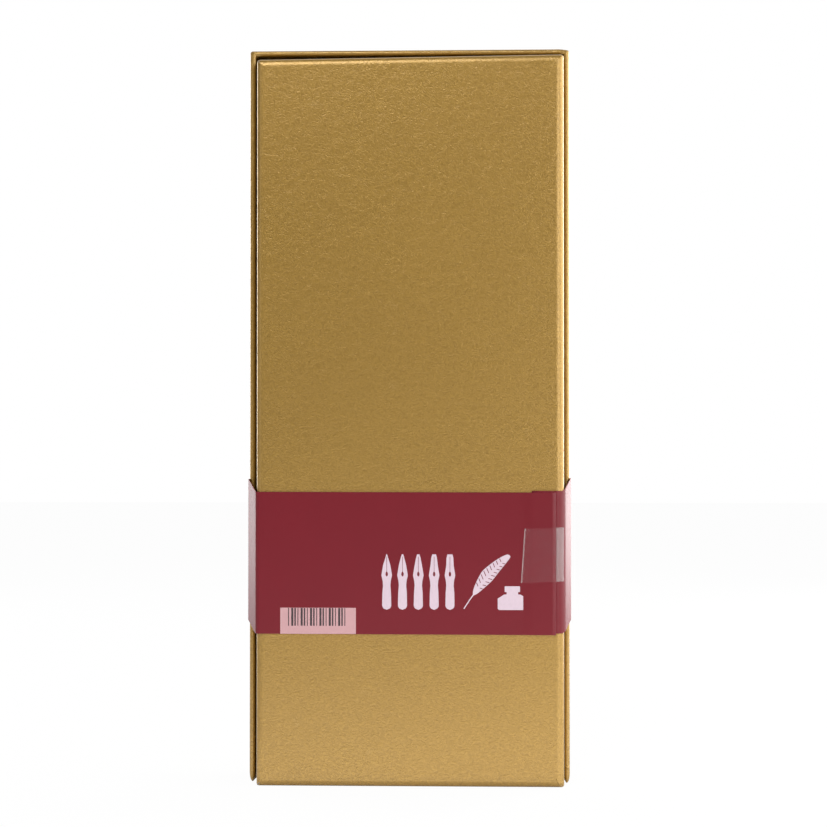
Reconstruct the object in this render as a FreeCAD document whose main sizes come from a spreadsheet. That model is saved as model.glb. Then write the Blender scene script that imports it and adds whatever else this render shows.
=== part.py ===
import FreeCAD, Part
import math
import os

import Sketcher

# Quill pen gift box: a hinged board box in covering paper, its paper band, and the writing set inside.
# Millimetres. +Z is up. The box stands on its hinged short end, and its back faces -Y.
# Left and right are those of a viewer who faces the back, so left is -X.

DIMENSIONS = (
    # the box
    ("lid_width", 131, "across the lid's side walls"),
    ("box_height", 300, "foot to head"),
    ("box_depth", 42, "back face of the base to front face of the lid"),
    ("board", 1.5, "grey board"),
    ("lid_board", 2, "grey board of the lid's side walls"),
    ("paper", 0.2, "covering and lining paper"),
    ("side_gap", 0.85, "base side to lid side wall, both sides taken together and halved"),
    ("lid_shift", -0.4, "lid off the base's middle, as the soft hinge lets it sit"),
    ("head_gap", 2.8, "base head to lid head wall"),
    ("rim_step", 8, "lid rim set in from the back face"),
    ("lid_foot", 1.3, "lower end of the lid above the foot"),
    ("lid_clearance", 0.4, "base rim to lid lining"),
    ("edge_round", 2, "rounding of the covered outer edges"),
    ("corner_round", 6.2, "rounding of the lid walls' lower corners"),
    ("turn_in", 12, "covering turned into the base"),
    ("fold_gap", 0.3, "free paper between the spine and the lid at the fold"),
    # the paper band
    ("band_low", 61.5, "lower edge of the band on the back"),
    ("band_width", 57.5, "lower to upper edge of the band"),
    ("band_paper", 0.25, "band paper"),
    ("band_slack", 0.3, "band to box"),
    ("band_bend", 1.6, "inner radius of the band's bends"),
    ("band_rise", 5, "rise of the band from the back to the lid's sides"),
    ("overlap_start", 49.5, "inner end of the band's under layer"),
    ("overlap_end", 59.2, "end of the band's outer layer"),
    ("tape_left", 45.4, "left edge of the tape"),
    ("tape_right", 60.8, "right edge of the tape"),
    ("tape_slant", 1.2, "lean of the tape's cut edge"),
    ("tape_low", 82.2, "lower edge of the tape"),
    ("tape_high", 104.2, "upper edge of the tape"),
    ("tape_film", 0.1, "tape"),
    ("shear_start", 1, "where the rise of the band starts, from its back"),
    # the insert
    ("seat", 0.05, "gap between pieces that rest on each other"),
    ("insert_play", 0.3, "insert to lining"),
    ("insert_split", 4, "plane between the lower and the upper sheet"),
    ("insert_top", 12, "face of the upper sheet"),
    ("well_x", 32, "middle of the bottle's well"),
    ("well_width", 34, "width of the well"),
    ("well_low", 18, "lower end of the well"),
    ("well_high", 78, "upper end of the well"),
    ("well_notch", 7, "radius of the finger notches beside the bottle"),
    ("slot_first", 12, "middle of the first nib slot"),
    ("slot_pitch", 10, "nib slot to nib slot"),
    ("slot_low", 150, "lower end of the nib slots' straight sides"),
    ("slot_spare", 1.4, "free length beyond a nib's point"),
    ("nib_trough", 5, "half height of the finger trough across the nib slots"),
    ("channel_low", 13, "lower end of the channel's straight sides"),
    ("channel_high", 140, "upper end of the channel's straight sides"),
    ("hollow_low", 110, "lower point of the feather's hollow"),
    ("hollow_high", 290, "upper point of the feather's hollow"),
    ("hollow_bow", 25, "half width of the feather's hollow"),
    ("pen_notch", 14, "radius of the finger notch round the pen"),
    ("pen_notch_z", 76, "height of the finger notch round the pen"),
    # the quill pen
    ("quill_x", -30, "pen axis"),
    ("nib_tip", 24, "height of the fitted nib's point"),
    ("holder_low", 46, "mouth of the nib holder"),
    ("holder_length", 58, "length of the nib holder"),
    ("holder_bead", 4.3, "largest radius of the nib holder"),
    ("holder_wall", 0.45, "metal round the nib's slot"),
    ("holder_slot", 15, "depth of the slot that grips the nib"),
    ("collar_high", 4, "upper end of the collar"),
    ("collar_bow", 0.6, "swell of the collar"),
    ("grip_high", 36, "upper end of the grip"),
    ("grip_waist", 16, "where the grip starts to swell"),
    ("grip_step", 0.2, "grip inside the collar and the bead"),
    ("bead_low", 38.9, "lower end of the bead"),
    ("bead_high", 43.5, "upper end of the bead"),
    ("bead_bow", 0.65, "swell of the bead"),
    ("cup_lip", 54, "lower end of the cup's lip"),
    ("cup_wall", 0.55, "metal round the shaft"),
    ("cup_flare", 0.3, "flare of the cup's lip"),
    ("holder_socket", 18, "depth of the socket for the shaft"),
    ("fit", 0.08, "clearance of the nib and the shaft in the holder"),
    ("shaft_radius", 2.5, "radius of the shaft in the holder"),
    ("shaft_tip_radius", 0.5, "radius of the shaft at its tip"),
    ("shaft_top", 258, "height of the shaft's tip"),
    ("shaft_bend", 6, "sideways bend of the shaft at its tip"),
    ("shaft_straight", 0.12, "share of the shaft that does not taper"),
    ("vane_low", 126, "lower end of the vane"),
    ("vane_high", 268, "upper end of the vane"),
    ("vane_left", 19, "vane width on the left of the shaft"),
    ("vane_right", 12.5, "vane width on the right of the shaft"),
    ("vane_droop", 1.8, "fall of the vane's edges towards the insert"),
    ("vane_edge", 0.5, "thickness of the vane at its edges"),
    ("vane_middle", 1.2, "thickness of the vane at the shaft"),
    ("vane_tip", 0.04, "share of the vane's width left at its two ends"),
    ("barb_slope", 1.3, "rise of a barb over its way out"),
    # the nibs
    ("nib_length", 36, "point to tail"),
    ("nib_radius", 2.9, "outer radius of the rolled sheet"),
    ("nib_sheet", 0.3, "nib sheet"),
    ("nib_shoulder", 2.5, "half width at the shoulders"),
    ("nib_waist", 1.9, "half width at the waist"),
    ("nib_tail", 2.4, "half width of the tail"),
    ("nib_slit", 0.14, "width of the slit"),
    ("nib_vent", 0.75, "radius of the vent hole"),
    # the ink bottle
    ("bottle_width", 32, "across the bottle's flats"),
    ("bottle_body", 33, "foot to shoulder top"),
    ("bottle_corner", 7, "cut of the bottle's corners"),
    ("bottle_depth", 30.6, "back flat to front flat"),
    ("bottle_bevel", 3, "height of the bevel round the foot"),
    ("bottle_foot_share", 0.86, "foot as a share of the bottle's width"),
    ("bottle_shoulder", 21.5, "height where the shoulder starts"),
    ("shoulder_share", 0.62, "shoulder top as a share of the bottle's width"),
    ("glass", 2, "glass"),
    ("neck_radius", 8, "outside of the neck"),
    ("neck_bore", 5.6, "bore of the neck"),
    ("neck_height", 9, "height of the neck"),
    ("ink_level", 22, "ink above the bottle's foot"),
    ("cap_radius", 10, "outside of the cap"),
    ("cap_height", 12, "height of the cap"),
    ("cap_skirt", 8.6, "depth of the cap below its liner"),
    ("cap_play", 0.35, "cap to neck"),
    ("cap_top", 1.5, "plain rim above the flutes"),
    ("cap_flute", 0.8, "radius of the cap's flutes"),
    ("cap_flutes", 14, "flutes round the cap"),
    ("liner", 1, "cap liner"),
)

# half width of the writing point of each spare nib, from the finest to the broadest
SPARE_NIB_POINTS = (
    ("spare_nib_fine", 0.32),
    ("spare_nib_medium", 0.5),
    ("spare_nib_broad", 0.8),
    ("spare_nib_stub", 1.2),
    ("spare_nib_italic", 1.7),
)
FITTED_NIB_POINT = 0.4

# heights of the vanes' sections and of their splits are shares of the vanes' length
VANE_SECTIONS = (0.0, 0.03, 0.09, 0.2, 0.35, 0.5, 0.65, 0.8, 0.9, 0.97, 1.0)
# side of the shaft, height, opening at the edge, and reach towards the shaft as a share of the vane's width
BARB_SPLITS = (
    (-1, 0.2, 4, 0.75),
    (1, 0.3, 3, 0.55),
    (-1, 0.55, 3, 0.6),
    (1, 0.62, 3, 0.5),
)
SHAFT_SECTIONS = 7
# powers of the sine that the vane's width follows: the first fills its lower end, the second its flanks
VANE_LEAN, VANE_FULLNESS = 0.85, 0.62

# heights on a nib as shares of its length, and of the point-to-shoulder height for the vent
SHOULDER_SHARE, WAIST_SHARE, VENT_SHARE = 0.4, 0.52, 0.62
# round tail's height as a share of its half width
TAIL_SHARE = 0.9
# how far each of a nib's three arcs has gone across at its middle point
BLADE_BOW, NECK_BOW, SHANK_BOW = 0.42, 0.2, 0.65
# height of the shank's middle point between the waist and the tail
SHANK_SHARE = 0.45

doc = FreeCAD.newDocument("quill_pen_gift_box")
sheet = doc.addObject("Spreadsheet::Sheet", "dims")
for row, (alias, number, meaning) in enumerate(DIMENSIONS, start=1):
    sheet.set(f"A{row}", meaning)
    sheet.set(f"B{row}", str(number))
    sheet.setAlias(f"B{row}", alias)
doc.recompute()

# planes of the box, as expressions of the sheet's dimensions
BACK = "(-dims.box_depth / 2)"
FRONT = "(dims.box_depth / 2)"
LID_X = "(dims.lid_width / 2)"
WALL = "(dims.board + 2 * dims.paper)"
BOARD_IN = "(dims.board + dims.paper)"
LID_WALL = "(dims.lid_board + 2 * dims.paper)"
LID_BOARD_IN = "(dims.lid_board + dims.paper)"
LID_RIM = f"({BACK} + dims.rim_step)"
BASE_X = f"({LID_X} - {LID_WALL} - dims.side_gap)"
BASE_HEAD = f"(dims.box_height - {WALL} - dims.head_gap)"
BASE_RIM = f"({FRONT} - {WALL} - dims.lid_clearance)"
BASE_BOARD_X = f"({BASE_X} - {BOARD_IN})"
LID_BOARD_X = f"({LID_X} - {LID_BOARD_IN})"
BASE_INNER_Y = f"({BACK} + {BOARD_IN})"
LID_INNER_Y = f"({FRONT} - {BOARD_IN})"
LINING_Y = f"({BASE_INNER_Y} + dims.paper)"
QUILL_Y = "(dims.insert_split + dims.holder_bead + dims.seat)"
BOTTLE_FOOT = "(dims.well_low + dims.seat)"
BOTTLE_Y = f"({LINING_Y} + dims.seat + dims.bottle_depth / 2)"
NIB_SLOT = "(dims.nib_shoulder + dims.seat)"
NIB_SLOT_HIGH = f"(dims.slot_low + dims.nib_length + dims.slot_spare - 2 * {NIB_SLOT})"

pieces = {}


def value(expression):
    """The number that an expression of the sheet gives now."""
    return float(sheet.evalExpression(str(expression)))


def keep(item, label):
    """Names a finished sub-part."""
    item.Label = label
    pieces[label] = item
    return item


def box(name, low, high):
    """A box between two corners, each of them three expressions."""
    item = doc.addObject("Part::Box", name)
    for side, start, end in zip(("Length", "Width", "Height"), low, high):
        item.setExpression(side, f"{end} - ({start})")
    for axis, start in zip("xyz", low):
        item.setExpression(f".Placement.Base.{axis}", str(start))
    return item


def slab(name, half_width, y_span, z_span, middle="0"):
    """A box that reaches equally far on both sides of a plane across the width."""
    low = (f"{middle} - {half_width}", y_span[0], z_span[0])
    high = (f"{middle} + {half_width}", y_span[1], z_span[1])
    return box(name, low, high)


def lid_slab(name, half_width, y_span, z_span):
    """A slab centred on the lid."""
    return slab(name, half_width, y_span, z_span, "dims.lid_shift")


def boolean(kind, name, base, tool):
    """Part::Cut or Part::Common of two objects."""
    item = doc.addObject(f"Part::{kind}", name)
    item.Base = base
    item.Tool = tool
    return item


def joined(name, *items):
    """One solid from pieces that meet."""
    item = doc.addObject("Part::MultiFuse", name)
    item.Shapes = list(items)
    return item


def rounded(name, base, radius_of):
    """The base with its edges rounded, where radius_of gives an edge's radius from its bounds, or 0."""
    doc.recompute()
    item = doc.addObject("Part::Fillet", name)
    item.Base = base
    edges = []
    for number, edge in enumerate(base.Shape.Edges, start=1):
        radius = radius_of(edge.BoundBox)
        if radius:
            edges.append((number, radius, radius))
    item.Edges = edges
    return item


def near(a, b):
    return abs(a - b) < 1e-6


def outline(sketch, corners):
    """Closes an outline through corners, each (x, y, bow), and ties every corner to the sheet.

    A side with a bow is an arc that stands out by that much on the right of its direction of travel.
    The two corners of a half circle already fix its radius.
    """
    places = [FreeCAD.Vector(value(x), value(y), 0) for x, y, _ in corners]
    first = len(sketch.Geometry)
    for index, (start, corner) in enumerate(zip(places, corners)):
        end = places[(index + 1) % len(places)]
        bow = value(corner[2])
        if bow:
            chord = end - start
            right = FreeCAD.Vector(chord.y, -chord.x, 0).normalize()
            middle = (start + end) * 0.5 + right * bow
            side = Part.Arc(start, middle, end)
        else:
            side = Part.LineSegment(start, end)
        number = sketch.addGeometry(side)
        if bow and not near(bow, (end - start).Length / 2):
            radius = sketch.Geometry[number].Radius
            sketch.addConstraint(Sketcher.Constraint("Radius", number, radius))
    for index in range(len(corners)):
        before = (index - 1) % len(corners)
        pair = (first + before, 2, first + index, 1)
        sketch.addConstraint(Sketcher.Constraint("Coincident", *pair))
        spot = (first + index, 1)
        for kind, expression, axis in zip(("DistanceX", "DistanceY"), corners[index], (-2, -1)):
            amount = value(expression)
            if near(amount, 0):
                sketch.addConstraint(Sketcher.Constraint("PointOnObject", *spot, axis))
            else:
                made = sketch.addConstraint(Sketcher.Constraint(kind, -1, 1, *spot, amount))
                sketch.setExpression(f"Constraints[{made}]", str(expression))


def circle(sketch, x, y, radius):
    """A circle tied to the sheet."""
    centre = FreeCAD.Vector(value(x), value(y), 0)
    ring = Part.Circle(centre, FreeCAD.Vector(0, 0, 1), value(radius))
    number = sketch.addGeometry(ring)
    made = sketch.addConstraint(Sketcher.Constraint("Radius", number, value(radius)))
    sketch.setExpression(f"Constraints[{made}]", str(radius))
    for kind, expression, axis in zip(("DistanceX", "DistanceY"), (x, y), (-2, -1)):
        amount = value(expression)
        if near(amount, 0):
            sketch.addConstraint(Sketcher.Constraint("PointOnObject", number, 3, axis))
        else:
            made = sketch.addConstraint(Sketcher.Constraint(kind, -1, 1, number, 3, amount))
            sketch.setExpression(f"Constraints[{made}]", str(expression))


def rectangle(x_span, y_span):
    """Corners of a rectangle, running counter-clockwise."""
    (left, right), (low, high) = x_span, y_span
    return ((left, low, 0), (right, low, 0), (right, high, 0), (left, high, 0))


def slot(x, half_width, low, high):
    """Corners of a slot with round ends, whose straight sides run from low to high."""
    left = f"{x} - {half_width}"
    right = f"{x} + {half_width}"
    return ((left, low, half_width), (right, low, 0), (right, high, half_width), (left, high, 0))


def slot_across(left, right, half_width, z):
    """Corners of a slot with round ends that lies across the box."""
    low = f"{z} - {half_width}"
    high = f"{z} + {half_width}"
    return ((left, low, 0), (right, low, half_width), (right, high, 0), (left, high, half_width))


def sketch_on(body, plane, name):
    """A sketch on one of the body's own origin planes."""
    sketch = body.newObject("Sketcher::SketchObject", name)
    origin = [item for item in body.Origin.OriginFeatures if item.Role == plane]
    sketch.AttachmentSupport = [(origin[0], "")]
    sketch.MapMode = "FlatFace"
    return sketch


def tie_placement(item, x, y, z):
    """Ties an object's place to the sheet."""
    for axis, expression in zip("xyz", (x, y, z)):
        item.setExpression(f".Placement.Base.{axis}", str(expression))


def shaped(name, shape):
    """An object whose form is worked out from the sheet's numbers."""
    item = doc.addObject("Part::Feature", name)
    item.Shape = shape
    return item


def skinned(sections):
    """A solid of flat facets through rings of points, closed at both ends."""
    rings = [sections[0], sections[-1]]
    for lower, upper in zip(sections, sections[1:]):
        for start in range(len(lower)):
            end = (start + 1) % len(lower)
            rings.append([lower[start], lower[end], upper[end]])
            rings.append([lower[start], upper[end], upper[start]])
    faces = [Part.Face(Part.makePolygon(ring + ring[:1])) for ring in rings]
    return Part.Solid(Part.Shell(faces))


def make_base_boards():
    """Back board, three walls and spine, butted edge to edge, with the outer edges of the back rounded."""
    outer_y = value(f"{BACK} + dims.paper")
    radius = value("dims.edge_round - dims.paper")
    raw = slab(
        "base_board_raw",
        f"({BASE_X} - dims.paper)",
        (f"{BACK} + dims.paper", f"{BASE_RIM} - dims.paper"),
        ("dims.paper", f"{BASE_HEAD} - dims.paper"),
    )
    solid = rounded(
        "base_board_solid",
        raw,
        lambda b: radius if near(b.YMin, outer_y) and near(b.YMax, outer_y) else 0,
    )
    hollow = slab(
        "base_hollow",
        BASE_BOARD_X,
        (BASE_INNER_Y, FRONT),
        (BOARD_IN, f"{BASE_HEAD} - {BOARD_IN}"),
    )
    tray = boolean("Cut", "base_board_tray", solid, hollow)
    wall_y = (BASE_INNER_Y, BASE_RIM)
    whole_z = ("0", BASE_HEAD)
    places = {
        "base_back_board": slab("base_back_place", BASE_X, (BACK, BASE_INNER_Y), whole_z),
        "base_left_wall": box(
            "base_left_place",
            (f"-{BASE_X}", wall_y[0], "0"),
            (f"-{BASE_BOARD_X}", wall_y[1], BASE_HEAD),
        ),
        "base_right_wall": box(
            "base_right_place",
            (BASE_BOARD_X, wall_y[0], "0"),
            (BASE_X, wall_y[1], BASE_HEAD),
        ),
        "base_head_wall": slab(
            "base_head_place", BASE_BOARD_X, wall_y, (f"{BASE_HEAD} - {BOARD_IN}", BASE_HEAD)
        ),
        "spine_board": slab("spine_place", BASE_BOARD_X, wall_y, ("0", BOARD_IN)),
    }
    for label, place in places.items():
        keep(boolean("Common", f"{label}_form", tray, place), label)
    return solid, hollow


def make_base_covering(board_solid, hollow):
    """The base's covering paper, turned over the rim, and the spine's with the fold of the hinge."""
    outer_y = value(BACK)
    radius = value("dims.edge_round")
    raw = slab("base_cover_raw", BASE_X, (BACK, BASE_RIM), ("0", BASE_HEAD))
    outside = rounded(
        "base_cover_outside",
        raw,
        lambda b: radius if near(b.YMin, outer_y) and near(b.YMax, outer_y) else 0,
    )
    skin = boolean("Cut", "base_cover_skin", outside, board_solid)
    skin = boolean("Cut", "base_cover_open", skin, hollow)
    turned = slab(
        "turn_in_outside",
        BASE_BOARD_X,
        (f"{BASE_RIM} - dims.turn_in", BASE_RIM),
        (BOARD_IN, f"{BASE_HEAD} - {BOARD_IN}"),
    )
    mouth = slab(
        "turn_in_mouth",
        f"({BASE_X} - {WALL})",
        (f"{BASE_RIM} - 2 * dims.turn_in", FRONT),
        (WALL, f"{BASE_HEAD} - {WALL}"),
    )
    turned = boolean("Cut", "turn_in_ring", turned, mouth)
    whole = joined("base_cover_whole", skin, turned)
    spine_side = slab("spine_side", LID_X, (f"2 * {BACK}", f"2 * {FRONT}"), ("-1", "dims.edge_round"))
    keep(boolean("Cut", "base_cover_form", whole, spine_side), "base_cover")
    spine_skin = boolean("Common", "spine_cover_skin", whole, spine_side)
    fold_sheet = slab(
        "fold_sheet",
        BASE_X,
        (BASE_RIM, f"{FRONT} - dims.paper / 2"),
        ("0", "dims.paper"),
    )
    fold_edge = doc.addObject("Part::Cylinder", "fold_edge")
    fold_edge.setExpression("Radius", "dims.paper / 2")
    fold_edge.setExpression("Height", f"2 * {BASE_X}")
    fold_edge.Placement.Rotation = FreeCAD.Rotation(FreeCAD.Vector(0, 1, 0), 90)
    tie_placement(fold_edge, f"-{BASE_X}", f"{FRONT} - dims.paper / 2", "dims.paper / 2")
    keep(joined("spine_cover_form", spine_skin, fold_sheet, fold_edge), "spine_cover")


def make_base_lining():
    """Paper inside the tray, up to where the covering is turned in."""
    outside = slab(
        "lining_outside",
        BASE_BOARD_X,
        (BASE_INNER_Y, f"{BASE_RIM} - dims.turn_in"),
        (BOARD_IN, f"{BASE_HEAD} - {BOARD_IN}"),
    )
    inside = slab(
        "lining_inside",
        f"({BASE_X} - {WALL})",
        (f"{BASE_INNER_Y} + dims.paper", FRONT),
        (WALL, f"{BASE_HEAD} - {WALL}"),
    )
    keep(boolean("Cut", "base_lining_form", outside, inside), "base_lining")


def make_lid():
    """Lid front and three walls, their covering over both faces of the walls, and the lining."""

    def lid_block(name, inset, edge_round, corner_round):
        raw = lid_slab(
            f"{name}_raw",
            f"({LID_X} - {inset})",
            (f"{LID_RIM} + {inset}", f"{FRONT} - {inset}"),
            (f"dims.lid_foot + {inset}", f"dims.box_height - {inset}"),
        )
        front_y = value(f"{FRONT} - {inset}")
        rim_y = value(f"{LID_RIM} + {inset}")
        foot_z = value(f"dims.lid_foot + {inset}")

        def radius_of(bounds):
            at_foot = near(bounds.ZMin, foot_z) and near(bounds.ZMax, foot_z)
            if near(bounds.YMin, front_y) and near(bounds.YMax, front_y) and not at_foot:
                return edge_round
            if at_foot and near(bounds.YMin, rim_y) and near(bounds.YMax, rim_y):
                return corner_round
            return 0

        return rounded(name, raw, radius_of)

    paper = value("dims.paper")
    edge = value("dims.edge_round")
    corner = value("dims.corner_round")
    outside = lid_block("lid_cover_outside", "0", edge, corner)
    solid = lid_block("lid_board_solid", "dims.paper", edge - paper, corner - paper)
    open_y = f"{LID_RIM} - 1"
    open_z = "dims.lid_foot - 1"
    hollow = lid_slab(
        "lid_hollow",
        LID_BOARD_X,
        (open_y, LID_INNER_Y),
        (open_z, f"dims.box_height - {BOARD_IN}"),
    )
    tray = boolean("Cut", "lid_board_tray", solid, hollow)
    whole_z = ("0", "dims.box_height")
    wall_y = (LID_RIM, LID_INNER_Y)
    places = {
        "lid_front_board": lid_slab("lid_front_place", LID_X, (LID_INNER_Y, FRONT), whole_z),
        "lid_left_wall": box(
            "lid_left_place",
            (f"dims.lid_shift - {LID_X}", wall_y[0], "0"),
            (f"dims.lid_shift - {LID_BOARD_X}", wall_y[1], "dims.box_height"),
        ),
        "lid_right_wall": box(
            "lid_right_place",
            (f"dims.lid_shift + {LID_BOARD_X}", wall_y[0], "0"),
            (f"dims.lid_shift + {LID_X}", wall_y[1], "dims.box_height"),
        ),
        "lid_head_wall": lid_slab(
            "lid_head_place",
            LID_BOARD_X,
            wall_y,
            (f"dims.box_height - {BOARD_IN}", "dims.box_height"),
        ),
    }
    for label, place in places.items():
        keep(boolean("Common", f"{label}_form", tray, place), label)

    skin = boolean("Cut", "lid_cover_skin", outside, tray)
    lined_hollow = lid_slab(
        "lid_lined_hollow",
        f"({LID_X} - {LID_WALL})",
        (open_y, LID_INNER_Y),
        (open_z, f"dims.box_height - {WALL}"),
    )
    skin = boolean("Cut", "lid_cover_open", skin, lined_hollow)
    fold_sheet = lid_slab(
        "lid_fold_sheet",
        BASE_X,
        (f"{FRONT} - dims.paper", FRONT),
        ("dims.paper + dims.fold_gap", "dims.lid_foot"),
    )
    keep(joined("lid_cover_form", skin, fold_sheet), "lid_cover")
    lining = lid_slab(
        "lid_lining_form",
        f"({LID_X} - {LID_WALL})",
        (f"{LID_INNER_Y} - dims.paper", LID_INNER_Y),
        ("dims.lid_foot + dims.paper", f"dims.box_height - {WALL}"),
    )
    keep(lining, "lid_lining")


def die_cut_sheet(label, face_y, thickness, cut_outs):
    """A foam sheet of the insert: a pad from its face towards the back, with a through cut per cut-out."""
    body = doc.addObject("PartDesign::Body", f"{label}_body")
    plan = sketch_on(body, "XZ_Plane", f"{label}_plan")
    edge_x = f"({BASE_X} - {WALL} - dims.insert_play)"
    span_z = (f"{WALL} + dims.insert_play", f"{BASE_HEAD} - {WALL} - dims.insert_play")
    outline(plan, rectangle((f"-{edge_x}", edge_x), span_z))
    pad = body.newObject("PartDesign::Pad", f"{label}_pad")
    pad.Profile = plan
    pad.setExpression("Length", thickness)
    doc.recompute()
    for name, draw, copies in cut_outs:
        before = body.Shape.Volume
        cut_plan = sketch_on(body, "XZ_Plane", f"{label}_{name}_plan")
        draw(cut_plan)
        cut = body.newObject("PartDesign::Pocket", f"{label}_{name}")
        cut.Profile = cut_plan
        cut.Type = "ThroughAll"
        cut.Reversed = True
        if copies:
            row = body.newObject("PartDesign::LinearPattern", f"{label}_{name}_row")
            row.Originals = [cut]
            row.Direction = (cut_plan, ["H_Axis"])
            row.Mode = "Spacing"
            row.setExpression("Offset", "dims.slot_pitch")
            row.Occurrences = copies
            body.Tip = row
        doc.recompute()
        if body.Shape.Volume >= before:
            raise RuntimeError(f"{label}: {name} cut nothing")
    tie_placement(body, "0", face_y, "0")
    return keep(body, label)


def make_insert():
    """Two die-cut sheets. The bottle's well goes through both, the pen and the nibs lie in the upper one."""
    well_left = "dims.well_x - dims.well_width / 2"
    well_right = "dims.well_x + dims.well_width / 2"
    well = rectangle((well_left, well_right), ("dims.well_low", "dims.well_high"))
    notch_z = f"({BOTTLE_FOOT} + dims.bottle_body / 2)"
    notches = slot_across(well_left, well_right, "dims.well_notch", notch_z)
    nib_slot = slot("dims.slot_first", NIB_SLOT, "dims.slot_low", NIB_SLOT_HIGH)
    slot_last = f"dims.slot_first + {len(SPARE_NIB_POINTS) - 1} * dims.slot_pitch"
    trough_z = f"((dims.slot_low + {NIB_SLOT_HIGH}) / 2)"
    trough = slot_across("dims.slot_first", slot_last, "dims.nib_trough", trough_z)
    channel_half = "(dims.holder_bead + dims.seat)"
    channel = slot("dims.quill_x", channel_half, "dims.channel_low", "dims.channel_high")
    hollow = (
        ("dims.quill_x", "dims.hollow_low", "dims.hollow_bow"),
        ("dims.quill_x - dims.shaft_bend", "dims.hollow_high", "dims.hollow_bow"),
    )
    notch = ("dims.quill_x", "dims.pen_notch_z", "dims.pen_notch")
    die_cut_sheet(
        "insert_lower_sheet",
        "dims.insert_split",
        f"dims.insert_split - {LINING_Y}",
        [("well", lambda plan: outline(plan, well), 0)],
    )
    die_cut_sheet(
        "insert_upper_sheet",
        "dims.insert_top",
        "dims.insert_top - dims.insert_split",
        [
            ("nib_slots", lambda plan: outline(plan, nib_slot), len(SPARE_NIB_POINTS)),
            ("nib_trough", lambda plan: outline(plan, trough), 0),
            ("well", lambda plan: outline(plan, well), 0),
            ("bottle_notches", lambda plan: outline(plan, notches), 0),
            ("pen_channel", lambda plan: outline(plan, channel), 0),
            ("feather_hollow", lambda plan: outline(plan, hollow), 0),
            ("pen_notch", lambda plan: circle(plan, *notch), 0),
        ],
    )


def make_nib_holder():
    """A turned holder: a slot round a core for the nib, a collar, a grip, a bead and a cup for the shaft."""
    body = doc.addObject("PartDesign::Body", "nib_holder_body")
    profile = sketch_on(body, "XZ_Plane", "nib_holder_profile")
    length = "dims.holder_length"
    bore = "(dims.nib_radius + dims.fit)"
    core = "(dims.nib_radius - dims.nib_sheet - dims.fit)"
    socket = "(dims.shaft_radius + dims.fit)"
    mouth = f"({bore} + dims.holder_wall)"
    bead = "(dims.holder_bead - dims.bead_bow)"
    cup = f"({socket} + dims.cup_wall)"
    socket_end = f"{length} - dims.holder_socket"
    outline(
        profile,
        (
            ("0", "0", 0),
            (core, "0", 0),
            (core, "dims.holder_slot", 0),
            (bore, "dims.holder_slot", 0),
            (bore, "0", 0),
            (mouth, "0", 0),
            (f"{mouth} + dims.collar_bow", "dims.collar_bow", 0),
            (f"{mouth} + dims.collar_bow", "dims.collar_high - dims.collar_bow", 0),
            (f"{mouth} - dims.grip_step", "dims.collar_high", 0),
            (f"{mouth} - dims.grip_step", "dims.grip_waist", 0),
            ("dims.holder_bead - dims.grip_step", "dims.grip_high", 0),
            (bead, "dims.bead_low", 0),
            ("dims.holder_bead", "dims.bead_low + 2 * dims.bead_bow", 0),
            ("dims.holder_bead", "dims.bead_high - 2 * dims.bead_bow", 0),
            (bead, "dims.bead_high", 0),
            (cup, "dims.cup_lip", 0),
            (f"{cup} + dims.cup_flare", length, 0),
            (socket, length, 0),
            (socket, socket_end, 0),
            ("0", socket_end, 0),
        ),
    )
    turned = body.newObject("PartDesign::Revolution", "nib_holder_turned")
    turned.Profile = profile
    turned.ReferenceAxis = (profile, ["V_Axis"])
    turned.Angle = 360
    tie_placement(body, "dims.quill_x", QUILL_Y, "dims.holder_low")
    keep(body, "nib_holder")


def shaft_place(share):
    """Point of the shaft's bent middle line, at a share of its length from the holder to the tip."""
    low = value("dims.holder_low + dims.holder_length - dims.holder_socket")
    height = low + share * (value("dims.shaft_top") - low)
    sideways = value("dims.quill_x") - value("dims.shaft_bend") * share**2
    return FreeCAD.Vector(sideways, value(QUILL_Y), height)


def shaft_radius(share):
    """Radius of the shaft at a share of its length, even in the holder and as at the tip beyond it."""
    straight = value("dims.shaft_straight")
    taper = min(1.0, max(0.0, (share - straight) / (1 - straight)))
    wide, narrow = value("dims.shaft_radius"), value("dims.shaft_tip_radius")
    return wide - (wide - narrow) * taper


def make_shaft():
    """The feather's shaft: a bent loft that is even in the holder and tapers to its tip."""
    rings = []
    for index in range(SHAFT_SECTIONS):
        share = index / (SHAFT_SECTIONS - 1)
        ring = doc.addObject("Part::Circle", f"shaft_ring_{index + 1}")
        ring.Radius = shaft_radius(share)
        ring.Placement.Base = shaft_place(share)
        rings.append(ring)
    shaft = doc.addObject("Part::Loft", "quill_shaft_form")
    shaft.Sections = rings
    shaft.Solid = True
    shaft.Ruled = True
    keep(shaft, "quill_shaft")


def vane_height(share):
    """Height at a share of the vane's length, and the share of the shaft's length that it has reached."""
    low, high = value("dims.vane_low"), value("dims.vane_high")
    height = low + share * (high - low)
    shaft_low = shaft_place(0).z
    return height, (height - shaft_low) / (value("dims.shaft_top") - shaft_low)


def vane_width(side):
    """Greatest width of the vane on the left, side -1, or on the right, side 1, of the shaft."""
    return value("dims.vane_left") if side < 0 else value("dims.vane_right")


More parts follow.
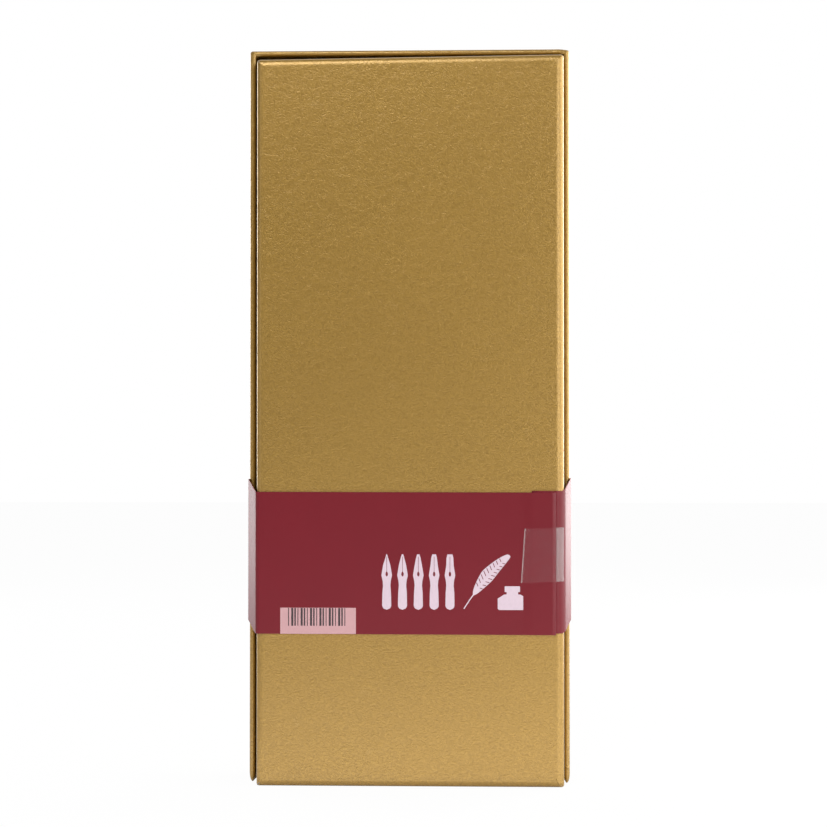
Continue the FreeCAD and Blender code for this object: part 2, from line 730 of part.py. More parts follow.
def vane_section(side, share):
    """A four-cornered section of one vane, thick beside the shaft, thin and drooping at its edge.

    The width swells as the power of a sine, fastest just above the lower end.
    """
    height, along = vane_height(share)
    centre = shaft_place(along)
    tip = value("dims.vane_tip")
    wave = max(0.0, math.sin(math.pi * share**VANE_LEAN))
    swell = tip + (1 - tip) * wave**VANE_FULLNESS
    inner = shaft_radius(along) + 2 * value("dims.seat")
    outer = inner + vane_width(side) * swell
    fall = centre.y - value("dims.vane_droop") * swell
    edge, middle = value("dims.vane_edge") / 2, value("dims.vane_middle") / 2
    corners = (
        (outer, fall - edge),
        (inner, centre.y - middle),
        (inner, centre.y + middle),
        (outer, fall + edge),
    )
    return [FreeCAD.Vector(centre.x + side * x, y, height) for x, y in corners]


def barb_split(side, share, opening, reach):
    """A wedge that splits a vane from its edge, slanting up and out from near the shaft as barbs do."""
    height, along = vane_height(share)
    centre = shaft_place(along)
    inner = centre.x + side * (shaft_radius(along) + vane_width(side) * (1 - reach))
    outer = centre.x + side * 2 * vane_width(side)
    lift = value("dims.barb_slope") * abs(outer - inner)
    depth = 2 * value("dims.vane_droop + dims.vane_middle")
    points = [
        FreeCAD.Vector(inner, centre.y - depth, height),
        FreeCAD.Vector(outer, centre.y - depth, height + lift),
        FreeCAD.Vector(outer, centre.y - depth, height + lift + opening),
    ]
    face = Part.Face(Part.makePolygon(points + points[:1]))
    return face.extrude(FreeCAD.Vector(0, 2 * depth, 0))


def make_vanes():
    """The thin vanes on both sides of the shaft, each split between its barbs."""
    for label, side in (("quill_left_vane", -1), ("quill_right_vane", 1)):
        vane = skinned([vane_section(side, share) for share in VANE_SECTIONS])
        for split_side, share, opening, reach in BARB_SPLITS:
            if split_side == side:
                vane = vane.cut(barb_split(side, share, opening, reach))
        keep(shaped(f"{label}_form", vane), label)


def nib_solid(point):
    """A nib with its point at the origin and its tail up: rolled sheet cut to an outline, slit and vented.

    The outline swells from the point to the shoulders, draws in at the waist and ends in a round tail.
    """
    length = value("dims.nib_length")
    shoulder, waist, tail = (value(f"dims.nib_{name}") for name in ("shoulder", "waist", "tail"))
    radius, sheet_metal = value("dims.nib_radius"), value("dims.nib_sheet")
    shoulder_z, waist_z = SHOULDER_SHARE * length, WAIST_SHARE * length
    tail_z = length - TAIL_SHARE * tail

    def at(x, z):
        return FreeCAD.Vector(x, 0, z)

    def between(start, end, share):
        return start + share * (end - start)

    def flank(side):
        blade = Part.Arc(
            at(side * point, 0),
            at(side * between(point, shoulder, BLADE_BOW), shoulder_z / 2),
            at(side * shoulder, shoulder_z),
        )
        neck = Part.Arc(
            at(side * shoulder, shoulder_z),
            at(side * between(shoulder, waist, NECK_BOW), (shoulder_z + waist_z) / 2),
            at(side * waist, waist_z),
        )
        shank = Part.Arc(
            at(side * waist, waist_z),
            at(side * between(waist, tail, SHANK_BOW), between(waist_z, tail_z, SHANK_SHARE)),
            at(side * tail, tail_z),
        )
        return [item.toShape() for item in (blade, neck, shank)]

    end = Part.Arc(at(tail, tail_z), at(0, length), at(-tail, tail_z)).toShape()
    writing_edge = Part.LineSegment(at(-point, 0), at(point, 0)).toShape()
    edges = flank(1) + [end] + flank(-1) + [writing_edge]
    plan = Part.Face(Part.Wire(Part.__sortEdges__(edges)))
    prism = plan.extrude(FreeCAD.Vector(0, 2 * radius, 0))
    rolled = Part.makeCylinder(radius, length).cut(Part.makeCylinder(radius - sheet_metal, length))
    vent_z = VENT_SHARE * shoulder_z
    across = FreeCAD.Vector(0, 1, 0)
    vent = Part.makeCylinder(value("dims.nib_vent"), 2 * radius, at(0, vent_z), across)
    slit_width = value("dims.nib_slit")
    slit = Part.makeBox(slit_width, 2 * radius, vent_z + 1, FreeCAD.Vector(-slit_width / 2, 0, -1))
    return rolled.common(prism).cut(vent).cut(slit)


def make_nibs():
    """The nib in the holder, and the spare ones in their slots, point up, resting on the lower sheet."""
    fitted = shaped("fitted_nib_form", nib_solid(FITTED_NIB_POINT))
    tie_placement(fitted, "dims.quill_x", QUILL_Y, "dims.nib_tip")
    keep(fitted, "fitted_nib")
    edge_drop = "sqrt((dims.nib_radius - dims.nib_sheet)^2 - dims.nib_shoulder^2)"
    for index, (label, point) in enumerate(SPARE_NIB_POINTS):
        nib = shaped(f"{label}_form", nib_solid(point))
        nib.Placement.Rotation = FreeCAD.Rotation(FreeCAD.Vector(0, 1, 0), 180)
        tie_placement(
            nib,
            f"dims.slot_first + {index} * dims.slot_pitch",
            f"dims.insert_split + dims.seat - {edge_drop}",
            f"dims.slot_low - {NIB_SLOT} + dims.seat + dims.nib_length",
        )
        keep(nib, label)


def faceted(inset, levels):
    """A solid of flat facets through cut-cornered rectangles. Each level is (height, share of the width)."""
    half_x = value("dims.bottle_width") / 2
    half_y = value("dims.bottle_depth") / 2
    sections = []
    for height, share in levels:
        x, y = half_x * share - inset, half_y * share - inset
        cut = value("dims.bottle_corner") * share - inset * (2 - math.sqrt(2))
        points = []
        for sign_x, sign_y in ((1, 1), (-1, 1), (-1, -1), (1, -1)):
            along_x = FreeCAD.Vector(sign_x * (x - cut), sign_y * y, height)
            along_y = FreeCAD.Vector(sign_x * x, sign_y * (y - cut), height)
            points += [along_y, along_x] if sign_x * sign_y > 0 else [along_x, along_y]
        sections.append(points)
    return skinned(sections).removeSplitter()


def make_ink_bottle():
    """A faceted glass bottle with a round neck, the ink in it, the fluted cap and the cap's liner."""
    body, glass = value("dims.bottle_body"), value("dims.glass")
    bevel, shoulder = value("dims.bottle_bevel"), value("dims.bottle_shoulder")
    foot_share, top_share = value("dims.bottle_foot_share"), value("dims.shoulder_share")
    neck_top = body + value("dims.neck_height")
    outside = faceted(0, ((0, foot_share), (bevel, 1), (shoulder, 1), (body, top_share)))
    inside = faceted(
        glass,
        ((glass, foot_share), (glass + bevel, 1), (shoulder - glass / 4, 1), (body - glass, top_share)),
    )
    neck_start = FreeCAD.Vector(0, 0, shoulder)
    neck = Part.makeCylinder(value("dims.neck_radius"), neck_top - shoulder, neck_start)
    bore = Part.makeCylinder(value("dims.neck_bore"), neck_top, neck_start)
    centre = ("dims.well_x", BOTTLE_Y, BOTTLE_FOOT)
    bottle = shaped("ink_bottle_form", outside.fuse(neck).cut(inside.fuse(bore)).removeSplitter())
    tie_placement(bottle, *centre)
    keep(bottle, "ink_bottle")
    reach = value("dims.bottle_width")
    corner = FreeCAD.Vector(-reach, -reach, 0)
    filled = Part.makeBox(2 * reach, 2 * reach, value("dims.ink_level"), corner)
    ink = shaped("ink_form", inside.common(filled))
    tie_placement(ink, *centre)
    keep(ink, "ink")

    liner = doc.addObject("Part::Cylinder", "cap_liner_form")
    liner.setExpression("Radius", "dims.neck_radius")
    liner.setExpression("Height", "dims.liner")
    liner_foot = f"{centre[2]} + dims.bottle_body + dims.neck_height"
    tie_placement(liner, centre[0], centre[1], f"{liner_foot} + dims.seat")
    keep(liner, "cap_liner")

    cap = doc.addObject("PartDesign::Body", "ink_cap_body")
    plan = sketch_on(cap, "XY_Plane", "ink_cap_plan")
    circle(plan, "0", "0", "dims.cap_radius")
    pad = cap.newObject("PartDesign::Pad", "ink_cap_pad")
    pad.Profile = plan
    pad.setExpression("Length", "dims.cap_height")
    bore_plan = sketch_on(cap, "XY_Plane", "ink_cap_bore_plan")
    circle(bore_plan, "0", "0", "dims.neck_radius + dims.cap_play")
    cap_bore = cap.newObject("PartDesign::Pocket", "ink_cap_bore")
    cap_bore.Profile = bore_plan
    cap_bore.setExpression("Length", "dims.cap_skirt + dims.liner + 2 * dims.seat")
    cap_bore.Reversed = True
    flute_plan = sketch_on(cap, "XY_Plane", "ink_cap_flute_plan")
    circle(flute_plan, "dims.cap_radius + dims.cap_flute / 2", "0", "dims.cap_flute")
    flute = cap.newObject("PartDesign::Pocket", "ink_cap_flute")
    flute.Profile = flute_plan
    flute.setExpression("Length", "dims.cap_height - dims.cap_top")
    flute.Reversed = True
    flutes = cap.newObject("PartDesign::PolarPattern", "ink_cap_flutes")
    flutes.Originals = [flute]
    flutes.Axis = (plan, ["N_Axis"])
    flutes.Angle = 360
    flutes.setExpression("Occurrences", "dims.cap_flutes")
    cap.Tip = flutes
    tie_placement(cap, centre[0], centre[1], f"{liner_foot} - dims.cap_skirt")
    keep(cap, "ink_cap")


def make_band():
    """The paper band: a folded loop with its ends lapped on the back, sheared between back and sides."""
    slack, bend, paper = (value(f"dims.band_{name}") for name in ("slack", "bend", "paper"))
    back = value(BACK) - slack
    front = value(FRONT) + slack
    back_x = value(BASE_X) - paper
    side_x = value(LID_X) + slack
    rim = value(LID_RIM) - slack
    shift = value("dims.lid_shift")
    right, left = side_x + shift, shift - side_x
    corners = ((back_x, back), (right, rim), (right, front), (left, front), (left, rim), (-back_x, back))
    points = [FreeCAD.Vector(x, y, 0) for x, y in corners]
    core = Part.Face(Part.makePolygon(points + points[:1])).makeOffset2D(-bend)
    low, width, rise = (value(f"dims.band_{name}") for name in ("low", "width", "rise"))
    tall = FreeCAD.Vector(0, 0, 2 * (low + width + rise))
    outer = core.makeOffset2D(bend + paper).extrude(tall)
    loop = outer.cut(core.makeOffset2D(bend).extrude(tall))
    lap_left, lap_right = value("dims.overlap_start"), value("dims.overlap_end")
    lap_corner = FreeCAD.Vector(lap_left, back - 2 * paper, 0)
    lap = Part.makeBox(lap_right - lap_left, paper, tall.z, lap_corner)
    behind, before = 2 * back, 2 * front
    start = back + value("dims.shear_start")
    side = (
        (behind, low),
        (start, low),
        (rim, low + rise),
        (before, low + rise),
        (before, low + rise + width),
        (rim, low + rise + width),
        (start, low + width),
        (behind, low + width),
    )
    reach = 2 * side_x
    edge_points = [FreeCAD.Vector(-reach, y, z) for y, z in side]
    trim_face = Part.Face(Part.makePolygon(edge_points + edge_points[:1]))
    trim = trim_face.extrude(FreeCAD.Vector(2 * reach, 0, 0))
    band = loop.fuse(lap).common(trim).removeSplitter()
    keep(shaped("paper_band_form", band), "paper_band")


def make_tape():
    """The clear tape over the band's end, cut on a slant at the left."""
    body = doc.addObject("PartDesign::Body", "clear_tape_body")
    plan = sketch_on(body, "XZ_Plane", "clear_tape_plan")
    outline(
        plan,
        (
            ("dims.tape_left", "dims.tape_low", 0),
            ("dims.tape_right", "dims.tape_low", 0),
            ("dims.tape_right", "dims.tape_high", 0),
            ("dims.tape_left + dims.tape_slant", "dims.tape_high", 0),
        ),
    )
    film = body.newObject("PartDesign::Pad", "clear_tape_film")
    film.Profile = plan
    film.setExpression("Length", "dims.tape_film")
    tie_placement(body, "0", f"{BACK} - dims.band_slack - 2 * dims.band_paper", "0")
    keep(body, "clear_tape")


def write_parts():
    """Checks every object and writes each sub-part to its own file."""
    doc.recompute()
    failed = [item.Name for item in doc.Objects if {"Invalid", "Error"} & set(item.State)]
    if failed:
        raise RuntimeError(f"failed objects: {failed}")
    for label, item in pieces.items():
        if item.Shape.isNull() or not item.Shape.isValid() or not item.Shape.Solids:
            raise RuntimeError(f"{label} has no valid solid")
    os.makedirs("parts", exist_ok=True)
    for label, item in pieces.items():
        bounds = item.Shape.BoundBox
        print(
            f"{label}: {len(item.Shape.Solids)} solid, {item.Shape.Volume:.1f} mm3,"
            f" x {bounds.XMin:.2f} {bounds.XMax:.2f}, y {bounds.YMin:.2f} {bounds.YMax:.2f},"
            f" z {bounds.ZMin:.2f} {bounds.ZMax:.2f}"
        )
        item.Shape.exportStep(f"parts/{label}.step")


board_solid, base_hollow = make_base_boards()
make_base_covering(board_solid, base_hollow)
make_base_lining()
make_lid()
make_insert()
make_nib_holder()
make_shaft()
make_vanes()
make_nibs()
make_ink_bottle()
make_band()
make_tape()
write_parts()
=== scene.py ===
import math

import bmesh
import bpy
import numpy as np
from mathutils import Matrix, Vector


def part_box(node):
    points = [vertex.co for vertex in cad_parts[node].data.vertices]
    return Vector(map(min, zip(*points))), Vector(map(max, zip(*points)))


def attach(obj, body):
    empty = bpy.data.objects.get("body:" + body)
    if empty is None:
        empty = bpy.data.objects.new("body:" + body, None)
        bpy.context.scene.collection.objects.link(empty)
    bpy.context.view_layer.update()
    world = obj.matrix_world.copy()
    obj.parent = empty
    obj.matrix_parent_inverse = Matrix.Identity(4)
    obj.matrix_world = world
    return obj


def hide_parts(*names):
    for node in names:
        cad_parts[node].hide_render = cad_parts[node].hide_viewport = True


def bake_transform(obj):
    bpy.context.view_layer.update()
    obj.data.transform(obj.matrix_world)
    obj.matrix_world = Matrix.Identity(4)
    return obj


bl_info = {
    "name": "Quill pen gift box",
    "version": (1, 0, 0),
    "blender": (4, 5, 0),
    "location": "View3D > Sidebar > Gift Box",
    "description": "Covers a hinged board box in gold paper, bands it, and dresses the writing set inside",
    "category": "Object",
}

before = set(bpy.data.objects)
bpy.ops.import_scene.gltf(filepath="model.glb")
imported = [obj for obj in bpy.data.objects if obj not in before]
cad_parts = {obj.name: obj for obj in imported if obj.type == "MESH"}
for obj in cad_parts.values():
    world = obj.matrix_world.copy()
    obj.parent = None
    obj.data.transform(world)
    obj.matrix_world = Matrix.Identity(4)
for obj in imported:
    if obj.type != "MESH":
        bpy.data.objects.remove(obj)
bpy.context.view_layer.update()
MM = 0.001


def length(name, description, default, **limits):
    """A size that a user would change, in metres."""
    return bpy.props.FloatProperty(
        name=name, description=description, default=default, unit="LENGTH", precision=5, **limits
    )


def colour(name, description, default):
    """A finish's colour, linear."""
    return bpy.props.FloatVectorProperty(
        name=name, description=description, default=default, size=3, subtype="COLOR", min=0, max=1
    )


def share(name, description, default):
    """A plain number from 0 to 1."""
    return bpy.props.FloatProperty(
        name=name, description=description, default=default, min=0, max=1, subtype="FACTOR"
    )


def power(name, description, watts):
    """A lamp's power in watts."""
    return bpy.props.FloatProperty(
        name=name, description=description, default=watts, min=0, subtype="POWER"
    )


class CoverSettings(bpy.types.PropertyGroup):
    """The covering paper of the base, the lid and the hinge."""

    # the crests' colour and the creases' darker colour paint the grain's light and shade: painted shade in
    # the creases
    gold: colour("Gold", "Covering paper on the crests of its grain", (0.415, 0.24, 0.037))
    gold_painted_crease_shade: colour("Gold shade", "Covering paper in the creases of its grain", (0.32, 0.18, 0.024))
    scuff: colour("Scuff", "Covering paper where it is rubbed", (0.62, 0.47, 0.26))
    board: colour("Board", "Pulp board under the papers", (0.3, 0.27, 0.23))
    lining: colour("Lining", "Lining papers of the base and the lid", (0.74, 0.66, 0.5))
    metallic: share("Metallic", "Share of metal pigment in the paper", 0.65)
    grain: length("Grain", "Width of a wrinkle of the leather grain", 0.0007, min=0.0003)
    base_round: length("Base edge", "Rounding of the back panel's edges", 0.0019, min=0.0005)
    lid_round: length("Lid edge", "Rounding of the lid front's edges", 0.002, min=0.0005)
    corner: length("Corner", "Rounding of the upright corners", 0.0011, min=0.0002)
    paper: length("Paper", "Thickness of the covering paper", 0.00016, min=0.00005)
    lip: length("Lip", "Rounding of the paper over the base's rim", 0.00064, min=0.0001)
    head_slant: length("Head slant", "How much higher the base's head stands at the right", 0.0014)
    head_rise: length("Head rise", "Fullness of the lid's head, lost at its right corner", 0.0004)
    side_full: length("Side fullness", "Fullness of the base's right side", 0.0003)


class BandSettings(bpy.types.PropertyGroup):
    """The paper band, its print and the tape."""

    crimson: colour("Crimson", "Coated face of the band", (0.145, 0.002, 0.009))
    edge: colour("Cut edge", "Cut edge of the band's paper", (0.48, 0.2, 0.22))
    print_white: colour("Print", "Figures printed on the band", (0.59, 0.47, 0.535))
    label: colour("Label", "Bare label at the band's lower edge", (0.51, 0.29, 0.3))
    bar: colour("Label stripes", "Plain stripes on the label", (0.04, 0.022, 0.026))
    climb: length("Climb", "How much higher the under layer's end lies", 0.0007)
    film: share("Tape haze", "How much of the tape's film shows", 0.028)


class SetSettings(bpy.types.PropertyGroup):
    """The writing set and its insert."""

    vane: colour("Feather", "Barbs of the feather", (0.78, 0.72, 0.62))
    vane_tip: colour("Feather tip", "Barbs towards the feather's tip", (0.34, 0.25, 0.17))
    horn: colour("Shaft", "Horn of the feather's shaft", (0.72, 0.6, 0.4))
    flock: colour("Flock", "Flocked face of the insert", (0.012, 0.011, 0.013))
    brass: colour("Brass", "Turned nib holder", (0.66, 0.45, 0.16))
    steel: colour("Steel", "Pressed nibs", (0.55, 0.55, 0.56))
    barbs: bpy.props.IntProperty(
        name="Barbs", description="Barbs on each side", default=150, min=20, max=400
    )


class StageSettings(bpy.types.PropertyGroup):
    """Camera and light."""

    eye: bpy.props.FloatVectorProperty(
        name="Eye",
        description="Place of the camera",
        default=(0.03105, -0.85, 0.13865),
        size=3,
        subtype="TRANSLATION",
        unit="LENGTH",
    )
    turn: bpy.props.FloatProperty(
        name="Turn", description="Camera turned to the left", default=0.03547, subtype="ANGLE"
    )
    tilt: bpy.props.FloatProperty(
        name="Tilt", description="Camera tilted up", default=0.0149, subtype="ANGLE"
    )
    lens: bpy.props.FloatProperty(
        name="Lens", description="Focal length in millimetres", default=89.09, min=20
    )
    left_power: power("Left light", "Soft light at the left, far from the box", 1.2)
    right_power: power("Right light", "Soft light beside the box at the right", 14.5)
    top_power: power("Top light", "Soft light above the camera", 7.45)
    left_back_power: power("Left back light", "Soft light behind the box at the left", 4.5)
    right_back_power: power("Right back light", "Soft light behind the box, right", 8)
    key_power: power("Key light", "Soft light at the camera's right", 3.3)
    card_power: power("Floor card", "Light thrown up from the floor", 0.195)
    room: share("Room", "Grey of the room behind the camera", 0.06)


def ease(low, high, x):
    """Smooth step: 0 up to low, 1 from high, and a cubic that is level at both ends between them."""
    t = np.clip((x - low) / (high - low), 0, 1)
    return t * t * (3 - 2 * t)


def crowded(count):
    """Numbers from -1 to 1 that crowd towards both ends as a sine does."""
    return np.sin(np.linspace(-1, 1, count) * math.pi / 2)


def crowded_with(count, *places):
    """Crowded numbers from -1 to 1, with more of them at the places given."""
    return np.unique(np.concatenate([crowded(count), *places]).round(6))


def raise_folds(points, folds, limit):
    """Raises pleats on a sheet that faces the back, where it lies behind the limit.

    A pleat has its start and end across and up, its height and its width, in millimetres. A point moves
    back by the height times a bell curve of its distance from the pleat's line.
    """
    for start, end, rise, width in folds:
        way = np.subtract(end, start)
        flat = points[..., [0, 2]] - np.asarray(start)
        along = np.clip(flat @ way / (way @ way), 0, 1)
        away = np.linalg.norm(flat - along[..., None] * way, axis=-1)
        points[..., 1] -= rise * np.exp(-((away / width) ** 2)) * (points[..., 1] < limit)


def corner_short(above, radius):
    """How far a quarter circle stays away from its corner at a height above the circle's foot."""
    left = radius - np.clip(above, 0, radius)
    return radius - np.sqrt(radius**2 - left**2)


def grid_patch(points, ring=False, flip=False):
    """Points (rows, columns, 3) and the quads between them. A ring's last column joins its first."""
    rows, columns = points.shape[:2]
    row = np.arange(rows - 1)[:, None] * columns
    column = np.arange(columns if ring else columns - 1)[None, :]
    beside = (column + 1) % columns
    corners = (row + column, row + beside, row + columns + beside, row + columns + column)
    quads = np.stack(np.broadcast_arrays(*corners), axis=-1).reshape(-1, 4)
    return points.reshape(-1, 3), quads[:, ::-1] if flip else quads


def joined(patches):
    """Several patches as one list of points and one of quads."""
    starts = np.cumsum([0] + [len(points) for points, _ in patches[:-1]])
    points = np.concatenate([points for points, _ in patches])
    quads = np.concatenate([quads + start for (_, quads), start in zip(patches, starts)])
    return points, quads


def make_piece(name, patches, finishes, uv=None, merge=0.01, smooth=True, closed=False):
    """A mesh object from patches in millimetres. Points closer than merge become one."""
    points, quads = joined(patches)
    mesh = bpy.data.meshes.new(name)
    mesh.from_pydata((points * MM).tolist(), [], quads.tolist())
    if uv is not None:
        layer = mesh.uv_layers.new(name="flat")
        corner = np.empty(len(mesh.loops), dtype=np.int32)
        mesh.loops.foreach_get("vertex_index", corner)
        layer.data.foreach_set("uv", (uv.reshape(-1, 2)[corner] * MM).ravel())
    if merge:
        work = bmesh.new()
        work.from_mesh(mesh)
        bmesh.ops.remove_doubles(work, verts=work.verts, dist=merge * MM)
        bmesh.ops.dissolve_degenerate(work, edges=work.edges, dist=0.1 * merge * MM)
        if closed:
            bmesh.ops.recalc_face_normals(work, faces=work.faces)
        work.to_mesh(mesh)
        work.free()
    if smooth:
        mesh.shade_smooth()
    for finish in finishes:
        mesh.materials.append(finish)
    piece = bpy.data.objects.new(name, mesh)
    bpy.context.scene.collection.objects.link(piece)
    return piece


def thicken(piece, thickness, offset=-1, edge_finish=0):
    """Gives a sheet its thickness. offset -1 keeps the drawn face as the outer one."""
    solid = piece.modifiers.new("thickness", "SOLIDIFY")
    solid.thickness = thickness
    solid.offset = offset
    solid.use_rim = True
    solid.material_offset_rim = edge_finish


def settle(piece, body, slot, *replaced):
    """Puts a piece on its body and hides the nodes that it stands for. The slot is not used."""
    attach(piece, body)
    if replaced:
        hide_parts(*replaced)


def add_node(tree, kind, inputs=None, **settings):
    """A shader node with its settings, and its inputs set or linked."""
    node = tree.nodes.new(f"ShaderNode{kind}")
    for label, setting in settings.items():
        setattr(node, label, setting)
    for label, source in (inputs or {}).items():
        if isinstance(source, bpy.types.NodeSocket):
            tree.links.new(source, node.inputs[label])
        else:
            node.inputs[label].default_value = source
    return node


def shade(tone, factor):
    """A colour made darker or lighter by a factor."""
    return tuple(factor * part for part in tone)


class Finish:
    """A material on one Principled shader, with nodes that read Object coordinates."""

    def __init__(self, name, sockets):
        self.material = bpy.data.materials.new(name)
        self.material.use_nodes = True
        self.tree = self.material.node_tree
        self.shader = self.tree.nodes["Principled BSDF"]
        for label, amount in sockets.items():
            self.shader.inputs[label].default_value = amount
        self.place = self.add("TexCoord").outputs["Object"]

    def add(self, kind, inputs=None, **settings):
        """A node of this material."""
        return add_node(self.tree, kind, inputs, **settings)

    def link(self, source, label):
        """Feeds a socket of the shader."""
        self.tree.links.new(source, self.shader.inputs[label])

    def stretched(self, scale, vector=None):
        """Object coordinates, or the vector given, stretched by a factor on each axis."""
        return self.add("Mapping", {"Vector": vector or self.place, "Scale": scale}).outputs["Vector"]

    def noise(self, scale, detail=2.0, vector=None, rough=0.5):
        """Cloudy numbers about a half, with so many waves to the metre."""
        inputs = {"Vector": vector or self.place, "Scale": scale, "Detail": detail, "Roughness": rough}
        return self.add("TexNoise", inputs).outputs["Fac"]

    def span(self, source, low, high, start=0.0, end=1.0):
        """The source between low and high as a number from start to end."""
        inputs = {"Value": source, "From Min": low, "From Max": high, "To Min": start, "To Max": end}
        return self.add("MapRange", inputs, clamp=True).outputs["Result"]

    def calc(self, kind, first, second):
        """One number from two, by a kind of sum."""
        return self.add("Math", {0: first, 1: second}, operation=kind).outputs[0]

    def weighed(self, first, part, second):
        """A part of the first number with the rest of the second."""
        return self.calc("ADD", self.calc("MULTIPLY", first, part), self.calc("MULTIPLY", second, 1 - part))

    def mix(self, factor, *tones):
        """From the first colour to the second."""
        first, second = (tone if isinstance(tone, bpy.types.NodeSocket) else (*tone, 1) for tone in tones)
        return self.add("Mix", {0: factor, 6: first, 7: second}, data_type="RGBA").outputs[2]

    def relief(self, height, strength, depth):
        """Bump of that depth in metres."""
        normal = self.add("Bump", {"Height": height, "Strength": strength, "Distance": depth}).outputs[0]
        self.link(normal, "Normal")
        return normal


def gold_paper():
    """Gold paper pressed with a fine crinkled leather grain, clouded and a little scuffed. Its colour is
    painted darker in the grain's creases and lighter on its crests, as painted shade.
    """
    if "gold_leather_paper" in bpy.data.materials:
        return bpy.data.materials["gold_leather_paper"]
    cover = bpy.context.scene.gift_cover
    paper = Finish(
        "gold_leather_paper",
        {"Metallic": cover.metallic, "Coat Weight": 0.8, "Coat Roughness": 0.27, "Coat IOR": 1.6},
    )
    wander = paper.add("TexNoise", {"Vector": paper.place, "Scale": 0.25 / cover.grain, "Detail": 2.0})
    shift = {0: wander.outputs["Color"], 1: (0.003, 0.003, 0.003), 2: paper.place}
    push = paper.add("VectorMath", shift, operation="MULTIPLY_ADD").outputs[0]
    crinkle = paper.noise(0.9 / cover.grain, 2.0, paper.stretched((0.7, 1.0, 1.25), push), rough=0.55)
    height = paper.weighed(crinkle, 0.75, paper.noise(2.2 / cover.grain, 2.0, push))
    tone = paper.weighed(height, 0.85, paper.noise(16.0, 4.0))
    # painted shade: the colour darkens into the grain's creases by its height, besides a random cloud
    body = paper.mix(paper.span(tone, 0.38, 0.62), cover.gold_painted_crease_shade, cover.gold)
    patch = paper.span(paper.noise(95.0, 5.0), 0.66, 0.8)
    rubbed = paper.calc("MULTIPLY", patch, paper.span(crinkle, 0.45, 0.7, 0.0, 0.25))
    paper.link(paper.mix(rubbed, body, cover.scuff), "Base Color")
    paper.link(paper.span(tone, 0.3, 0.7, 0.38, 0.33), "Roughness")
    paper.link(paper.relief(height, 0.6, 0.0002), "Coat Normal")
    return paper.material


def crimson_paper():
    """Smooth coated crimson paper, hardly clouded."""
    crimson = bpy.context.scene.gift_band.crimson
    paper = Finish("crimson_coated_paper", {"Specular IOR Level": 0.4})
    tooth = paper.noise(2200.0)
    tone = paper.weighed(paper.noise(30.0, 3.0), 0.7, tooth)
    paper.link(paper.mix(tone, shade(crimson, 0.9), shade(crimson, 1.1)), "Base Color")
    paper.link(paper.span(tooth, 0.3, 0.7, 0.3, 0.38), "Roughness")
    paper.relief(tooth, 0.12, 0.00003)
    return paper.material


def plain_paper(name, tone, roughness=0.7, specks=0.12):
    """Uncoated paper or ink of one tone, with the tooth of its fibres."""
    paper = Finish(name, {"Roughness": roughness})
    fibre = paper.noise(1400.0, 4.0, paper.stretched((1.0, 1.0, 0.45)))
    paper.link(paper.mix(paper.span(fibre, 0.3, 0.7), shade(tone, 1 - specks), tone), "Base Color")
    paper.relief(fibre, 0.15, 0.00004)
    return paper.material


def grey_board():
    """Grey pulp board."""
    if "grey_board_pulp" in bpy.data.materials:
        return bpy.data.materials["grey_board_pulp"]
    return plain_paper("grey_board_pulp", bpy.context.scene.gift_cover.board, 0.85, 0.25)


def over_edge(wall, lip):
    """The paper's way over a wall's edge: a small quarter circle, a flat run, another quarter circle.

    Gives the inset from the outer face and the distance beyond the start of the first arc.
    """
    quarter = np.linspace(0, math.pi / 2, 8)[1:]
    flat = np.linspace(lip, wall - lip, 5)[1:]
    inset = np.concatenate([lip * (1 - np.cos(quarter)), flat, wall - lip + lip * np.sin(quarter)])
    beyond = np.concatenate([lip * np.sin(quarter), lip + 0 * flat, lip * np.cos(quarter)])
    return inset, beyond


def rounded_rectangle(across, up, corner):
    """A ring round a rectangle, counter-clockwise as the back shows it, from its lower left.

    Each point has a place on the core rectangle, from -1 to 1 both ways, and an outward direction that
    turns through a quarter circle at each corner.
    """
    turn = np.linspace(0, 1, corner + 2)[1:-1]
    side, wall, bend = np.ones(len(across)), np.ones(len(up)), np.ones(corner)
    core_x = np.concatenate([across, bend, wall, bend, across[::-1], -bend, -wall, -bend])
    core_z = np.concatenate([-side, -bend, up, bend, side, bend, up[::-1], -bend])
    quarters = np.concatenate([-side, turn - 1, 0 * wall, turn, side, turn + 1, 2 * wall, turn + 2])
    angle = quarters * math.pi / 2
    return core_x, core_z, np.cos(angle), np.sin(angle)


BASE_WALL, BASE_TURN_IN = 1.9, 12.0
BASE_STRETCH, BASE_HEAD_FULL = 1.5, 0.15
# pleats in the covering at the base's lower corners
FOOT_FOLDS = (
    ((59.7, 3.0), (61.0, 0.4), 0.2, 0.3),
    ((-60.6, 5.5), (-60.4, 1.5), 0.12, 0.3),
)


